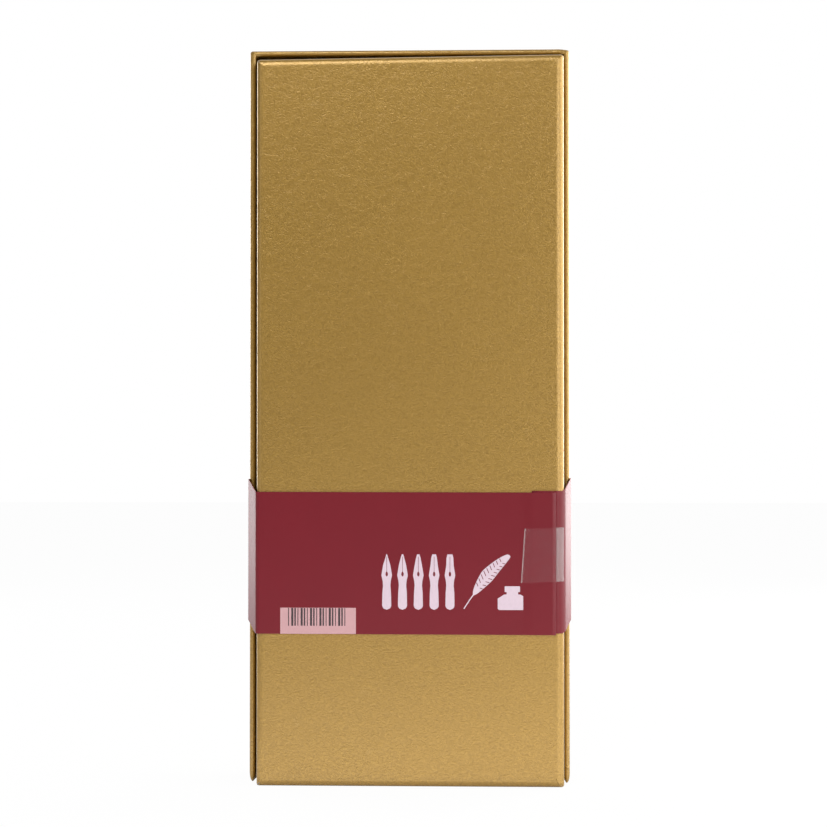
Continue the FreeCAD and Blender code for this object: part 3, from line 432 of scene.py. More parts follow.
def base_covering_patches(cover):
    """Back panel and a ring that rounds its edge, runs up the walls, over the rim and down inside.

    A ring's points stand at inset d from the outside: core place times (half size - d - r), plus r
    outwards, where r is the corner's radius there. The panel's edge is an ellipse, longer along the panel
    than it is deep. The head stands higher towards the right.
    """
    low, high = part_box("base_cover")
    back, rim = low.y / MM, high.y / MM
    half_x, half_z = high.x / MM, high.z / MM / 2
    edge, corner, lip = cover.base_round / MM, cover.corner / MM, cover.lip / MM
    long_edge = BASE_STRETCH * edge
    across = crowded_with(45, np.linspace(0.93, 0.995, 16))
    upwards = crowded_with(91, np.linspace(-0.995, -0.96, 12))
    panel_x, panel_z = np.meshgrid((half_x - long_edge) * across, half_z + (half_z - long_edge) * upwards)
    panel = np.stack([panel_x, np.full_like(panel_x, back), panel_z], axis=-1)

    quarter = np.linspace(0, math.pi / 2, 13)
    up = np.linspace(back + edge, rim - lip, 16)[1:]
    over, beyond = over_edge(BASE_WALL, lip)
    down = np.linspace(rim - lip, rim - BASE_TURN_IN, 6)[1:]
    inset = np.concatenate([long_edge * (1 - np.sin(quarter)), 0 * up, over, BASE_WALL + 0 * down])
    depth = np.concatenate([back + edge * (1 - np.cos(quarter)), up, rim - lip + beyond, down])
    radius = np.concatenate([corner * np.sin(quarter), np.maximum(corner - inset[len(quarter):], 0.1)])
    core_x, core_z, out_x, out_z = rounded_rectangle(across, upwards, 7)
    d, r, y = (array[:, None] for array in (inset, radius, depth))
    ring_x = core_x * (half_x - d - r) + out_x * r
    ring_x += cover.side_full / MM * np.clip(1 - d / BASE_WALL, 0, 1) * ease(0.95, 1, core_x)
    ring_z = half_z + core_z * (half_z - d - r) + out_z * r
    ring = np.stack([ring_x, np.broadcast_to(y, ring_x.shape), ring_z], axis=-1)
    for points in (panel, ring):
        rightwards = (points[..., 0] + half_x) / (2 * half_x)
        headwards = np.clip((points[..., 2] - half_z) / half_z, 0, 1)
        points[..., 2] += headwards * (BASE_HEAD_FULL + rightwards * cover.head_slant / MM)
        raise_folds(points, FOOT_FOLDS, back + edge)
    return [grid_patch(panel), grid_patch(ring, ring=True, flip=True)]


class GIFTBOX_OT_base_covering(bpy.types.Operator):
    """Covers the base in one sheet of gold paper turned over its rim"""

    bl_idname = "giftbox.base_covering"
    bl_label = "Base covering"

    def execute(self, context):
        cover = context.scene.gift_cover
        piece = make_piece("base_covering", base_covering_patches(cover), [gold_paper()])
        thicken(piece, cover.paper)
        settle(piece, "base", "gold_paper", "base_cover")
        return {"FINISHED"}


COVER_SHEET = 0.2
LID_FOOT, TIP_ROUND, TIP_TALL, TIP_BOARD = 0.4, 2.0, 4.5, 6.2
# the covering's tab at the head's right end, and pleats as on the base
TAB_START, TAB_STEP = 58.9, 0.2
LID_FOLDS = (
    ((-64.6, 299.0), (-63.4, 297.8), 0.35, 0.35),
    ((62.9, 7.4), (64.3, 6.8), 0.3, 0.35),
)


def covered_wall(node, axis):
    """Thickness of a wall's board with the covering on both of its faces."""
    low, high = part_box(node)
    return (high[axis] - low[axis]) / MM + 2 * COVER_SHEET


def lid_path(across):
    """The way up the left wall, across the head and down the right wall, given as a rounded rectangle is.

    Places up the walls go from 0 to 1. They crowd at the foot by a power.
    """
    near_foot = np.linspace(0, 1, 30) ** 1.7 * 0.027
    climb = np.concatenate([near_foot[:-1], near_foot[-1] + (1 - near_foot[-1]) * (crowded(40) + 1) / 2])
    turn = np.linspace(0, 1, 9)[1:-1]
    wall, head, bend = np.ones(len(climb)), np.ones(len(across)), np.ones(len(turn))
    core_x = np.concatenate([-wall, -bend, across, bend, wall])
    core_z = np.concatenate([climb, bend, head, bend, climb[::-1]])
    angle = np.concatenate([2 * wall, 2 - turn, head, 1 - turn, 0 * wall]) * math.pi / 2
    return climb, core_x, core_z, np.cos(angle), np.sin(angle)


def finger_tips(x, y, z, side, half_x, wall, reach):
    """Shapes the walls' lower ends as finger tips and gives the new places across and back.

    The back corner is a quarter circle. A wall's two faces draw together to its middle by a quarter of an
    ellipse, which is taller near the rim. Reach goes from 0 at the front to 1 at the rim.
    """
    y = y + reach * corner_short(z - LID_FOOT, TIP_ROUND)
    taper = wall / 2 + (TIP_TALL - wall / 2) * ease(0.72, 0.95, reach)
    closing = np.clip((z - LID_FOOT) / taper, 0, 1)
    pinch = np.sqrt(1 - (1 - closing) ** 2)
    pinch = 1 - (1 - pinch) * ease(0, 0.12, reach) * (np.abs(side) == 1)
    middle = np.sign(side) * (half_x - wall / 2)
    return np.where(np.abs(x) > half_x - 2 * wall, middle + (x - middle) * pinch, x), y


def lid_covering_patches(cover):
    """Front panel, and a sheet that rounds its edge, runs along three walls, over their lip and inside.

    A point of the sheet stands at an inset from the outside as on the base. The lip is a half circle.
    """
    low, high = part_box("lid_cover")
    middle_x, half_x = (high.x + low.x) / 2 / MM, (high.x - low.x) / 2 / MM
    rim, front, head = low.y / MM, high.y / MM, high.z / MM
    wall, head_wall = covered_wall("lid_left_wall", 0), covered_wall("lid_head_wall", 2)
    inner_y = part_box("lid_lining")[0].y / MM
    edge, corner, lip = cover.lid_round / MM, cover.corner / MM, wall / 2
    bend = front - edge
    tab_share = (TAB_START - middle_x) / half_x
    across = crowded_with(61, tab_share + np.linspace(-0.006, 0.006, 7))
    climb, core_x, core_z, out_x, out_z = lid_path(across)

    quarter = np.linspace(0, math.pi / 2, 9)
    outer = np.linspace(bend, rim + lip, 18)[1:]
    over, beyond = over_edge(wall, lip)
    over_head, _ = over_edge(head_wall, head_wall / 2)
    inner = np.linspace(rim + lip, inner_y, 10)[1:]
    inset = np.concatenate([edge * (1 - np.sin(quarter)), 0 * outer, over, wall + 0 * inner])
    head_inset = np.concatenate([inset[: len(quarter) + len(outer)], over_head, head_wall + 0 * inner])
    depth = np.concatenate([front - edge * (1 - np.cos(quarter)), outer, rim + lip - beyond, inner])
    radius = np.concatenate([corner * np.sin(quarter), np.maximum(corner - inset[len(quarter):], 0.1)])
    d, head_d, r, y = (array[:, None] for array in (inset, head_inset, radius, depth))
    x = core_x * (half_x - d - r) + out_x * r
    z = LID_FOOT + core_z * (head - LID_FOOT - head_d - r) + out_z * r
    rise = cover.head_rise / MM * np.clip(1 - head_d / head_wall, 0, 1)
    z += rise * ease(0.97, 1, core_z) * ease(half_x, half_x - 4.5, x)
    reach = np.clip((bend - y) / (bend - rim), 0, 1)
    x, y = finger_tips(x, y, z, core_x, half_x, wall, reach)
    sheet = np.stack([middle_x + x, y, z], axis=-1)
    tab = ease(TAB_START - 0.2, TAB_START + 0.2, sheet[..., 0]) * (core_z == 1)
    sheet[..., 1] -= TAB_STEP * tab * ease(rim + 2, rim + 0.5, y)
    raise_folds(sheet, LID_FOLDS, rim + 2)

    panel_rows = LID_FOOT + (head - edge - LID_FOOT) * climb
    panel_x, panel_z = np.meshgrid(middle_x + (half_x - edge) * across, panel_rows)
    panel = np.stack([panel_x, np.full_like(panel_x, front), panel_z], axis=-1)
    foot_y = np.linspace(front, inner_y + COVER_SHEET, 3)[:, None]
    foot_edge = np.stack(np.broadcast_arrays(panel_x[0], foot_y, LID_FOOT), axis=-1)
    return [grid_patch(points, flip=True) for points in (panel, sheet, foot_edge)]


def wall_board_patch(node, across):
    """A wall's board, its back edge a half circle: that section carried along it and closed at both ends.

    The axis across is the board's thickness. A side wall's lower back corner is a quarter circle.
    """
    low, high = (np.array(corner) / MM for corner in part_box(node))
    middle, half = (low[across] + high[across]) / 2, (high[across] - low[across]) / 2
    turn = np.linspace(0, math.pi, 15)
    run = np.linspace(high[1], low[1] + half, 8)[:-1]
    offset = np.concatenate([-half + 0 * run, -half * np.cos(turn), half + 0 * run])
    y = np.concatenate([run, low[1] + half * (1 - np.sin(turn)), run[::-1]])
    part = np.concatenate([[0], np.linspace(0, 1, 60) ** 2, [1]])
    full = np.ones(len(part))
    full[[0, -1]] = 0
    along = 2 - across
    points = np.empty((len(part), len(y), 3))
    points[..., across] = middle + full[:, None] * offset
    points[..., along] = (low[along] + part * (high[along] - low[along]))[:, None]
    points[..., 1] = y
    if across == 0:
        reach = np.clip((high[1] - y) / (high[1] - low[1]), 0, 1)
        points[..., 1] += reach * corner_short(points[..., 2] - low[2], TIP_BOARD)
    return grid_patch(points, ring=True)


class GIFTBOX_OT_lid_boards(bpy.types.Operator):
    """Makes the boards of the lid's three walls, with the round edge that their covering follows"""

    bl_idname = "giftbox.lid_boards"
    bl_label = "Lid wall boards"

    def execute(self, context):
        for name, node, across in (
            ("lid_left_board", "lid_left_wall", 0),
            ("lid_right_board", "lid_right_wall", 0),
            ("lid_head_board", "lid_head_wall", 2),
        ):
            piece = make_piece(name, [wall_board_patch(node, across)], [grey_board()], closed=True)
            settle(piece, "lid", "grey_board", node)
        return {"FINISHED"}


class GIFTBOX_OT_lid_covering(bpy.types.Operator):
    """Covers the lid in one sheet of gold paper turned over the lips of its walls"""

    bl_idname = "giftbox.lid_covering"
    bl_label = "Lid covering"

    def execute(self, context):
        cover = context.scene.gift_cover
        piece = make_piece("lid_covering", lid_covering_patches(cover), [gold_paper()])
        thicken(piece, cover.paper)
        settle(piece, "lid", "gold_paper", "lid_cover")
        return {"FINISHED"}


HINGE_SHEET = 0.08


def hinge_paper_patch():
    """A strip under the foot that bends up onto the lid: a straight run, a quarter circle, a run."""
    low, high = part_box("spine_cover")
    left_gap, right_gap, tuck = 0.4, 1.1, 3.5
    front, bend, top = 21.1, 0.9, 9.0
    quarter = np.linspace(0, math.pi / 2, 10)[1:]
    run = np.linspace(low.y / MM + tuck, front - bend, 40)
    rise = np.linspace(HINGE_SHEET + bend, top, 12)[1:]
    y = np.concatenate([run, front - bend + bend * np.sin(quarter), front + 0 * rise])
    z = np.concatenate([HINGE_SHEET + 0 * run, HINGE_SHEET + bend * (1 - np.cos(quarter)), rise])
    x = np.linspace(left_gap - high.x / MM, high.x / MM - right_gap, 50)
    points = np.stack(np.broadcast_arrays(x, y[:, None], z[:, None]), axis=-1)
    return grid_patch(points, flip=True)


class GIFTBOX_OT_hinge_paper(bpy.types.Operator):
    """Lays the strip of covering paper that is the hinge from the foot onto the lid"""

    bl_idname = "giftbox.hinge_paper"
    bl_label = "Hinge paper"

    def execute(self, context):
        piece = make_piece("hinge_paper", [hinge_paper_patch()], [gold_paper()])
        thicken(piece, HINGE_SHEET * MM)
        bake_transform(piece)
        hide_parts("spine_cover")
        return {"FINISHED"}


def bent_path(corners, radii, step):
    """Points, outward directions and distances along straight runs joined by arcs of the given radii."""
    corners = np.asarray(corners, float)
    legs = np.diff(corners, axis=0)
    ways = legs / np.linalg.norm(legs, axis=1)[:, None]
    turns = np.arctan2(
        ways[:-1, 0] * ways[1:, 1] - ways[:-1, 1] * ways[1:, 0], np.sum(ways[:-1] * ways[1:], axis=1)
    )
    cut = np.asarray(radii) * np.tan(np.abs(turns) / 2)
    before = np.concatenate([[0], cut])
    after = np.concatenate([cut, [0]])
    points, headings = [], []
    for index, way in enumerate(ways):
        start = corners[index] + way * before[index]
        end = corners[index + 1] - way * after[index]
        count = max(2, int(np.linalg.norm(end - start) / step))
        points.append(start + (end - start) * np.linspace(0, 1, count)[:, None])
        heading = math.atan2(way[1], way[0])
        headings.append(np.full(count, heading))
        if index < len(turns):
            angles = heading + turns[index] * np.linspace(0, 1, 14)[1:-1]
            arm = math.copysign(radii[index], turns[index])
            centre = end + arm * np.array([-way[1], way[0]])
            points.append(centre + arm * np.stack([np.sin(angles), -np.cos(angles)], axis=1))
            headings.append(angles)
    points, headings = np.concatenate(points), np.concatenate(headings)
    outward = np.stack([-np.sin(headings), np.cos(headings)], axis=1)
    steps = np.linalg.norm(np.diff(points, axis=0), axis=1)
    return points, outward, np.concatenate([[0], np.cumsum(steps)])


# the band's folded path at the middle of its sheet, and its measures, in millimetres
BAND_LOW_CORNER, BAND_HIGH_CORNER = (np.array(corner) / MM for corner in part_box("paper_band"))
BAND_SHEET = 0.25
BAND_LEFT = BAND_LOW_CORNER[0] + BAND_SHEET / 2
BAND_RIGHT = BAND_HIGH_CORNER[0] - BAND_SHEET / 2
BAND_FRONT = BAND_HIGH_CORNER[1] - BAND_SHEET / 2
BAND_BACK = BAND_LOW_CORNER[1] + 1.5 * BAND_SHEET
BAND_RIM = -13.34
BAND_EDGE = 62.1
BAND_LAP_END = 59.2
BAND_LAP_START = 49.5
BAND_LOW, BAND_WIDTH, BAND_RISE = BAND_LOW_CORNER[2], 57.5, 5.0
BAND_BEND, BAND_WIDE_BEND = 1.7, 4.4


def band_rise(y):
    """The band climbs between the back panel and the lid's rim: part straight, part a smooth step."""
    start, end, soft_start, soft_end = -20.6, -13.3, -20.9, -13.0
    straight = np.clip((y - start) / (end - start), 0, 1)
    return BAND_RISE * (0.6 * straight + 0.4 * ease(soft_start, soft_end, y))


def band_patch(band):
    """The band carried along its folded path, its outer end stepped up over its under layer."""
    corners = (
        (BAND_LAP_END, BAND_BACK),
        (-BAND_EDGE, BAND_BACK),
        (BAND_LEFT, BAND_RIM),
        (BAND_LEFT, BAND_FRONT),
        (BAND_RIGHT, BAND_FRONT),
        (BAND_RIGHT, BAND_RIM),
        (BAND_EDGE, BAND_BACK),
        (BAND_LAP_START, BAND_BACK),
    )
    path, outward, along = bent_path(corners, [BAND_BEND] * 5 + [BAND_WIDE_BEND], 1.5)
    lap = BAND_LAP_END - BAND_LAP_START
    lift = BAND_SHEET * (1 - ease(lap + 0.2, lap + 3, along))
    x, y = (path + outward * lift[:, None]).T
    climb = band_rise(y) + band.climb / MM * along / along[-1]
    margin, quarters = 0.06, BAND_WIDTH * np.array([0.25, 0.5, 0.75])
    height = np.array([0, margin, *quarters, BAND_WIDTH - margin, BAND_WIDTH])[:, None]
    points = np.stack(np.broadcast_arrays(x, y, BAND_LOW + height + climb), axis=-1)
    flat = np.stack(np.broadcast_arrays(along, height), axis=-1)
    return grid_patch(points, flip=True), flat


class GIFTBOX_OT_paper_band(bpy.types.Operator):
    """Folds the crimson paper band round the box, its ends lapped at the right of the back"""

    bl_idname = "giftbox.paper_band"
    bl_label = "Paper band"

    def execute(self, context):
        band = context.scene.gift_band
        patch, flat = band_patch(band)
        finishes = [crimson_paper(), plain_paper("crimson_cut_edge", band.edge)]
        piece = make_piece("paper_band_wrap", [patch], finishes, uv=flat, merge=0)
        thicken(piece, BAND_SHEET * MM, offset=0, edge_finish=1)
        settle(piece, "band", "band_paper", "paper_band")
        return {"FINISHED"}


def tape_patch():
    """A film along the band's end: flat over the outer layer, down its step and round the right bend.

    The flat part's places across are stretched, so that its cut end slants.
    """
    low, high, left, slant = 82.6, 104.4, 45.1, 1.5
    bend_end, flat_end, path_end, gap = -19.8, 58.0, 44.0, 0.155
    corners = ((BAND_RIGHT, BAND_RIM), (BAND_EDGE, BAND_BACK), (path_end, BAND_BACK))
    path, outward, _ = bent_path(corners, [BAND_WIDE_BEND], 0.25)
    first = np.argmax(path[:, 1] < bend_end)
    path, outward = path[first:], outward[first:]
    above = gap + BAND_SHEET * ease(BAND_LAP_END + 0.7, BAND_LAP_END + 0.05, path[:, 0])
    across, y = (path + outward * above[:, None]).T
    height = np.linspace(0, 1, 9)[:, None]
    stop = left + slant * height
    drawn = stop + (across - across[-1]) * (flat_end - stop) / (flat_end - across[-1])
    x = np.where(across < flat_end, drawn, across)
    z = low + (high - low) * height + band_rise(y) * 0.6 + 0.5 * ease(left, across[0], x)
    points = np.stack(np.broadcast_arrays(x, y, z), axis=-1)
    flat = np.stack(np.broadcast_arrays(x - stop, height * (high - low)), axis=-1)
    return grid_patch(points, flip=True), flat


def tape_film():
    """Clear glossy film, hazier along its cut end and past the band's end, where it lifts off the paper."""
    film = Finish("clear_tape_film", {"Base Color": (0.75, 0.7, 0.69, 1), "Roughness": 0.2, "IOR": 1.5})
    flat = film.add("UVMap", uv_map="flat").outputs["UV"]
    from_end = film.add("SeparateXYZ", {"Vector": flat}).outputs["X"]
    cut = film.span(from_end, 0.0001, 0.0006, 0.35, 0.0)
    across = film.add("SeparateXYZ", {"Vector": film.place}).outputs["X"]
    lifted = film.span(across, BAND_LAP_END * MM, (BAND_LAP_END + 0.3) * MM, 0.0, 0.2)
    haze = film.span(film.noise(260.0, 3.0), 0.3, 0.7, 0.8, 1.2)
    veil = film.calc("MULTIPLY", haze, bpy.context.scene.gift_band.film)
    film.link(film.calc("ADD", veil, film.calc("ADD", cut, lifted)), "Alpha")
    film.relief(film.noise(500.0), 0.1, 0.00004)
    return film.material


class GIFTBOX_OT_clear_tape(bpy.types.Operator):
    """Sticks the clear tape over the end of the band"""

    bl_idname = "giftbox.clear_tape"
    bl_label = "Clear tape"

    def execute(self, context):
        patch, flat = tape_patch()
        piece = make_piece("tape_strip", [patch], [tape_film()], uv=flat, merge=0)
        settle(piece, "band", "tape", "clear_tape")
        return {"FINISHED"}


PRINT_Y, PRINT_STEP = -21.557, 0.012
PRINT_FOOT, NIB_TALL = 71.6, 22.4
NIB_MIDDLES = -9.2 + 6.4 * np.arange(5)
NIB_POINTS = (0.15, 0.3, 0.5, 0.75, 1.0)
POT_MIDDLE = 41.6
# left, right, low and high
LABEL = (-52.4, -21.7, 61.75, 72.3)
STRIPES = (-49.2, -24.3, 65.0, 72.2)


def print_patch(x, z, lift=0.0):
    """A flat figure on the band's back from grids of places across and up."""
    return grid_patch(np.stack([x, np.full_like(x, PRINT_Y - lift), z], axis=-1))


def nib_figure(middle, point):
    """A nib's outline, point up: its half width runs through the tail, waist, shoulders and point."""
    up = np.linspace(0, 1, 49)
    stations = (0.0, 0.08, 0.3, 0.44, 0.52, 0.62, 0.8, 0.94, 1.0)
    half = np.interp(up, stations, (1.75, 1.85, 1.75, 1.5, 1.65, 2.15, 1.5, 0.4 + point, point))
    half = half * np.sqrt(np.clip(1 - (1 - np.clip(up / 0.08, 0, 1)) ** 2, 0.0004, 1))
    x = middle + half[:, None] * np.linspace(-1, 1, 9)
    return print_patch(x, np.broadcast_to(PRINT_FOOT + NIB_TALL * up[:, None], x.shape))


def nib_cut(middle):
    """The vent and slit of a printed nib: a slim drop, then a line to the point."""
    up = np.linspace(0, 1, 25)
    drop = 0.5 * np.sqrt(np.clip(1 - ((up - 0.12) / 0.12) ** 2, 0, 1))
    half = np.maximum(drop, 0.09)
    x = middle + half[:, None] * np.linspace(-1, 1, 5)
    z = np.broadcast_to(PRINT_FOOT + NIB_TALL * (0.6 + 0.36 * up[:, None]), x.shape)
    return print_patch(x, z, PRINT_STEP)


FEATHER_FOOT, FEATHER_TIP = np.array([22.0, 72.0]), np.array([40.5, 93.5])
FEATHER_WAY = (FEATHER_TIP - FEATHER_FOOT) / np.linalg.norm(FEATHER_TIP - FEATHER_FOOT)
FEATHER_SIDE = np.array([-FEATHER_WAY[1], FEATHER_WAY[0]])


def feather_place(along, reach):
    """Places on the printed feather from shares along it and across it, the latter from -1 to 1.

    The middle line is bowed. The half widths, wider at the left, swell and taper, and the barbs lean up.
    """
    middle = FEATHER_FOOT + (FEATHER_TIP - FEATHER_FOOT) * along[..., None]
    middle = middle + FEATHER_SIDE * (4.4 * (along - along**2))[..., None]
    swell = np.sqrt(np.clip((along - 0.24) / 0.3, 0, 1)) * np.sqrt(np.clip((1 - along) / 0.5, 0, 1))
    offset = reach * (0.22 + np.where(reach < 0, 2.2, 3.1) * swell)
    return middle + offset[..., None] * FEATHER_SIDE + 0.5 * np.abs(offset)[..., None] * FEATHER_WAY


def feather_figure():
    """The printed feather's whole form."""
    along, reach = np.meshgrid(np.linspace(0, 1, 61), np.linspace(-1, 1, 11), indexing="ij")
    place = feather_place(along, reach)
    return print_patch(place[..., 0], place[..., 1])


def feather_cuts():
    """Thin lines between the printed feather's barbs, from near its middle to its edge."""
    patches = []
    for side in (-1, 1):
        for start in np.linspace(0.36, 0.84, 9):
            shares, reaches = np.array([start, start + 0.012]), side * np.linspace(0.25, 0.9, 5)
            place = feather_place(*np.meshgrid(shares, reaches, indexing="ij"))[::side]
            patches.append(print_patch(place[..., 0], place[..., 1], PRINT_STEP))
    return patches


def pot_figure():
    """An ink pot from the front: half widths of its foot, body, shoulder, neck and cap, upwards."""
    up = np.array([0.0, 0.25, 0.7, 4.6, 6.2, 6.3, 7.2, 7.3, 9.4, 9.6])
    half = np.array([5.2, 5.7, 5.9, 5.9, 3.4, 2.3, 2.3, 3.1, 3.1, 2.9])
    x = POT_MIDDLE + half[:, None] * np.linspace(-1, 1, 7)
    return print_patch(x, np.broadcast_to(PRINT_FOOT + up[:, None], x.shape))


def label_patch():
    """The bare label."""
    left, right, low, high = LABEL
    return print_patch(*np.meshgrid(np.linspace(left, right, 12), np.linspace(low, high, 5)))


def stripe_patches():
    """Plain upright stripes of three widths across the label, at even steps."""
    left, right, low, high = STRIPES
    starts = np.arange(left, right - 1.2, 1.27)
    widths = 0.35 + 0.25 * (np.arange(len(starts)) * 2 % 3)
    sides = zip(starts, starts + widths)
    return [print_patch(*np.meshgrid(pair, [low, high]), PRINT_STEP) for pair in sides]


class GIFTBOX_OT_band_print(bpy.types.Operator):
    """Prints plain figures of what the box holds on the band, and lays a bare label at its lower edge"""

    bl_idname = "giftbox.band_print"
    bl_label = "Band print"

    def execute(self, context):
        band = context.scene.gift_band
        figures = [nib_figure(middle, point) for middle, point in zip(NIB_MIDDLES, NIB_POINTS)]
        figures += [feather_figure(), pot_figure()]
        cuts = [nib_cut(middle) for middle in NIB_MIDDLES] + feather_cuts()
        pale = plain_paper("print_pale", band.print_white, 0.5, 0.06)
        dark = plain_paper("print_crimson", band.crimson, 0.42, 0.06)
        label = plain_paper("label_pale", band.label, 0.55, 0.05)
        bars = plain_paper("label_bar", band.bar, 0.5)
        for name, patches, finish in (
            ("printed_figures", figures, pale),
            ("printed_cuts", cuts, dark),
            ("band_label", [label_patch()], label),
            ("label_stripes", stripe_patches(), bars),
        ):
            piece = make_piece(name, patches, [finish], merge=0, smooth=False)
            thicken(piece, 0.00001)
            settle(piece, "band", "band_paper")
        return {"FINISHED"}


SHAFT_X, SHAFT_BEND = -30.0, 6.0
# a vane's numbers are given for its side, left or right of the shaft
VANE_WIDTH = {-1: 19.0, 1: 12.5}
VANE_SPLITS = {-1: (0.2, 0.55), 1: (0.3, 0.62)}
VANE_LOW, VANE_HIGH, VANE_Y = 126.0, 268.0, 8.35
ROOT_LOW, ROOT_HIGH, BARB_CLIMB = 122.0, 254.0, 1.25


def shaft_line(height):
    """The shaft's middle line across, which bends by a square, and its tapering radius, at some heights."""
    low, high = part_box("quill_shaft")
    along = np.clip((height - low.z / MM) / (high.z / MM - low.z / MM), 0, 1.08)
    return SHAFT_X - SHAFT_BEND * along**2, 2.5 - 2.0 * np.clip((along - 0.12) / 0.88, 0, 1)


def vane_reach(side, height):
    """Width of a vane at a height: the power of a sine, fullest above the lower end."""
    part = np.clip((height - VANE_LOW) / (VANE_HIGH - VANE_LOW), 0, 1)
    swell = 0.04 + 0.96 * np.maximum(0, np.sin(math.pi * part**0.85)) ** 0.62
    return VANE_WIDTH[side] * np.where((height < VANE_LOW) | (height > VANE_HIGH), 0.02, swell)


def vane_patch(side, count):
    """Barbs of one vane, each a slim four-sided blade that rises outwards, bends up and droops.

    A barb is as long as the vane is wide at its tip's height, which a few rounds of averaging find. Two
    splits shorten the barbs near them by a bell curve.
    """
    order = np.arange(count)
    root = np.linspace(ROOT_LOW, ROOT_HIGH, count)
    reach = np.full(count, 2.0)
    for _ in range(40):
        reach = 0.7 * reach + 0.3 * vane_reach(side, root + BARB_CLIMB * reach)
    up = (root - VANE_LOW) / (VANE_HIGH - VANE_LOW)
    for split in VANE_SPLITS[side]:
        reach = reach * (1 - 0.45 * np.exp(-(((up - split) / 0.012) ** 2)))
    reach = reach * (1 + 0.03 * np.sin(order * 2.4) + 0.02 * np.sin(order * 0.7))
    line, radius = shaft_line(root)
    ripple = 0.06 * np.sin(order * 1.9)
    line, radius, ripple, root, reach = (row[:, None] for row in (line, radius, ripple, root, reach))
    out = np.linspace(0, 1, 9)
    x = line + side * (radius * 0.8 + reach * out)
    y = VANE_Y - 1.8 * (reach / VANE_WIDTH[side]) * out**1.5 + ripple
    z = root + reach * BARB_CLIMB * (0.75 * out + 0.25 * out**2)
    thick, deep = 0.46 * (1 - 0.75 * out**2), 0.42 * (1 - 0.7 * out)
    blade_y = y[..., None] + deep[:, None] * np.array([1, 0, -1, 0])
    blade_z = z[..., None] + thick[:, None] * np.array([0, 1, 0, -1])
    points = np.stack(np.broadcast_arrays(x[..., None], blade_y, blade_z), axis=-1)
    last = 4 * (len(out) - 1)
    ends = np.array([[3, 2, 1, 0], [last, last + 1, last + 2, last + 3]])
    blade = np.concatenate([grid_patch(points[0], ring=True)[1], ends])
    quads = (blade + (last + 4) * order[:, None, None]).reshape(-1, 4)
    return points.reshape(-1, 3), quads[:, ::-1] if side < 0 else quads


def feather_finish():
    """Pale barbs that turn brown towards the tip, with a soft sheen."""
    pen = bpy.context.scene.gift_set
    barb = Finish("feather_barbs", {"Roughness": 0.6, "Sheen Weight": 0.4, "Sheen Roughness": 0.4})
    up = barb.add("SeparateXYZ", {"Vector": barb.place}).outputs["Z"]
    mottle = barb.span(barb.noise(120.0, 3.0), 0.3, 0.7, -0.15, 0.15)
    browned = barb.calc("ADD", barb.span(up, 0.19, 0.27), mottle)
    barb.link(barb.mix(browned, pen.vane, pen.vane_tip), "Base Color")
    barb.relief(barb.noise(1800.0, 2.0, barb.stretched((1, 1, 3))), 0.2, 0.00005)
    return barb.material


class GIFTBOX_OT_quill_feather(bpy.types.Operator):
    """Grows the barbs of the feather on both sides of its shaft"""

    bl_idname = "giftbox.quill_feather"
    bl_label = "Quill feather"

    def execute(self, context):
        finish = feather_finish()
        count = context.scene.gift_set.barbs
        for name, side in (("left", -1), ("right", 1)):
            piece = make_piece(f"{name}_barbs", [vane_patch(side, count)], [finish], merge=0)
            settle(piece, "base", "feather", f"quill_{name}_vane")
        return {"FINISHED"}


def dress(finish, *nodes):
    """Gives CAD nodes a finish."""
    for node in nodes:
        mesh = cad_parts[node].data
        mesh.materials.clear()
        mesh.materials.append(finish)


class GIFTBOX_OT_boards(bpy.types.Operator):
    """Finishes the grey boards and the lining papers"""

    bl_idname = "giftbox.boards"
    bl_label = "Boards and linings"

    def execute(self, context):
        dress(grey_board(), "base_back_board", "base_left_wall", "base_right_wall", "base_head_wall")
        dress(grey_board(), "spine_board", "lid_front_board")
        lining = plain_paper("lining_paper_cream", context.scene.gift_cover.lining, 0.75, 0.08)
        dress(lining, "base_lining", "lid_lining")
        return {"FINISHED"}


def flocked_foam():
    """Black foam with a short flock: fine dark fur with a soft sheen."""
    flock = bpy.context.scene.gift_set.flock
    foam = Finish("flocked_foam_black", {"Roughness": 0.95, "Sheen Weight": 0.5, "Sheen Roughness": 0.5})
    fur = foam.noise(3000.0, 3.0)
    foam.link(foam.mix(foam.span(fur, 0.35, 0.7), flock, shade(flock, 2.6)), "Base Color")
    foam.relief(fur, 0.6, 0.0002)
    return foam.material


class GIFTBOX_OT_insert(bpy.types.Operator):
    """Flocks the two sheets of the insert"""

    bl_idname = "giftbox.insert"
    bl_label = "Insert"

    def execute(self, context):
        dress(flocked_foam(), "insert_lower_sheet", "insert_upper_sheet")
        return {"FINISHED"}


def metal(name, tone, roughness, scratch):
    """Worked metal, brushed finely along one axis by the scratch factors, and a little uneven."""
    part = Finish(name, {"Metallic": 1.0})
    brush = part.noise(900.0, 3.0, part.stretched(scratch))
    tarnish = part.noise(180.0, 4.0)
    part.link(part.mix(part.span(tarnish, 0.35, 0.7), shade(tone, 0.78), tone), "Base Color")
    part.link(part.span(brush, 0.3, 0.7, roughness - 0.06, roughness + 0.1), "Roughness")
    part.relief(brush, 0.1, 0.00002)
    return part.material


def bottle_glass():
    """Clear glass, faintly wavy."""
    sockets = {"Base Color": (0.93, 0.96, 0.95, 1), "Roughness": 0.02, "IOR": 1.52}
    glass = Finish("bottle_glass", {**sockets, "Transmission Weight": 1.0})
    glass.relief(glass.noise(160.0), 0.06, 0.0003)
    return glass.material


def liquid_ink():
    """Blue-black ink, slightly bluer in its thin parts."""
    ink = Finish("blue_black_ink", {"Roughness": 0.04, "IOR": 1.34})
    ink.link(ink.mix(ink.noise(90.0), (0.004, 0.006, 0.02), (0.008, 0.012, 0.045)), "Base Color")
    return ink.material


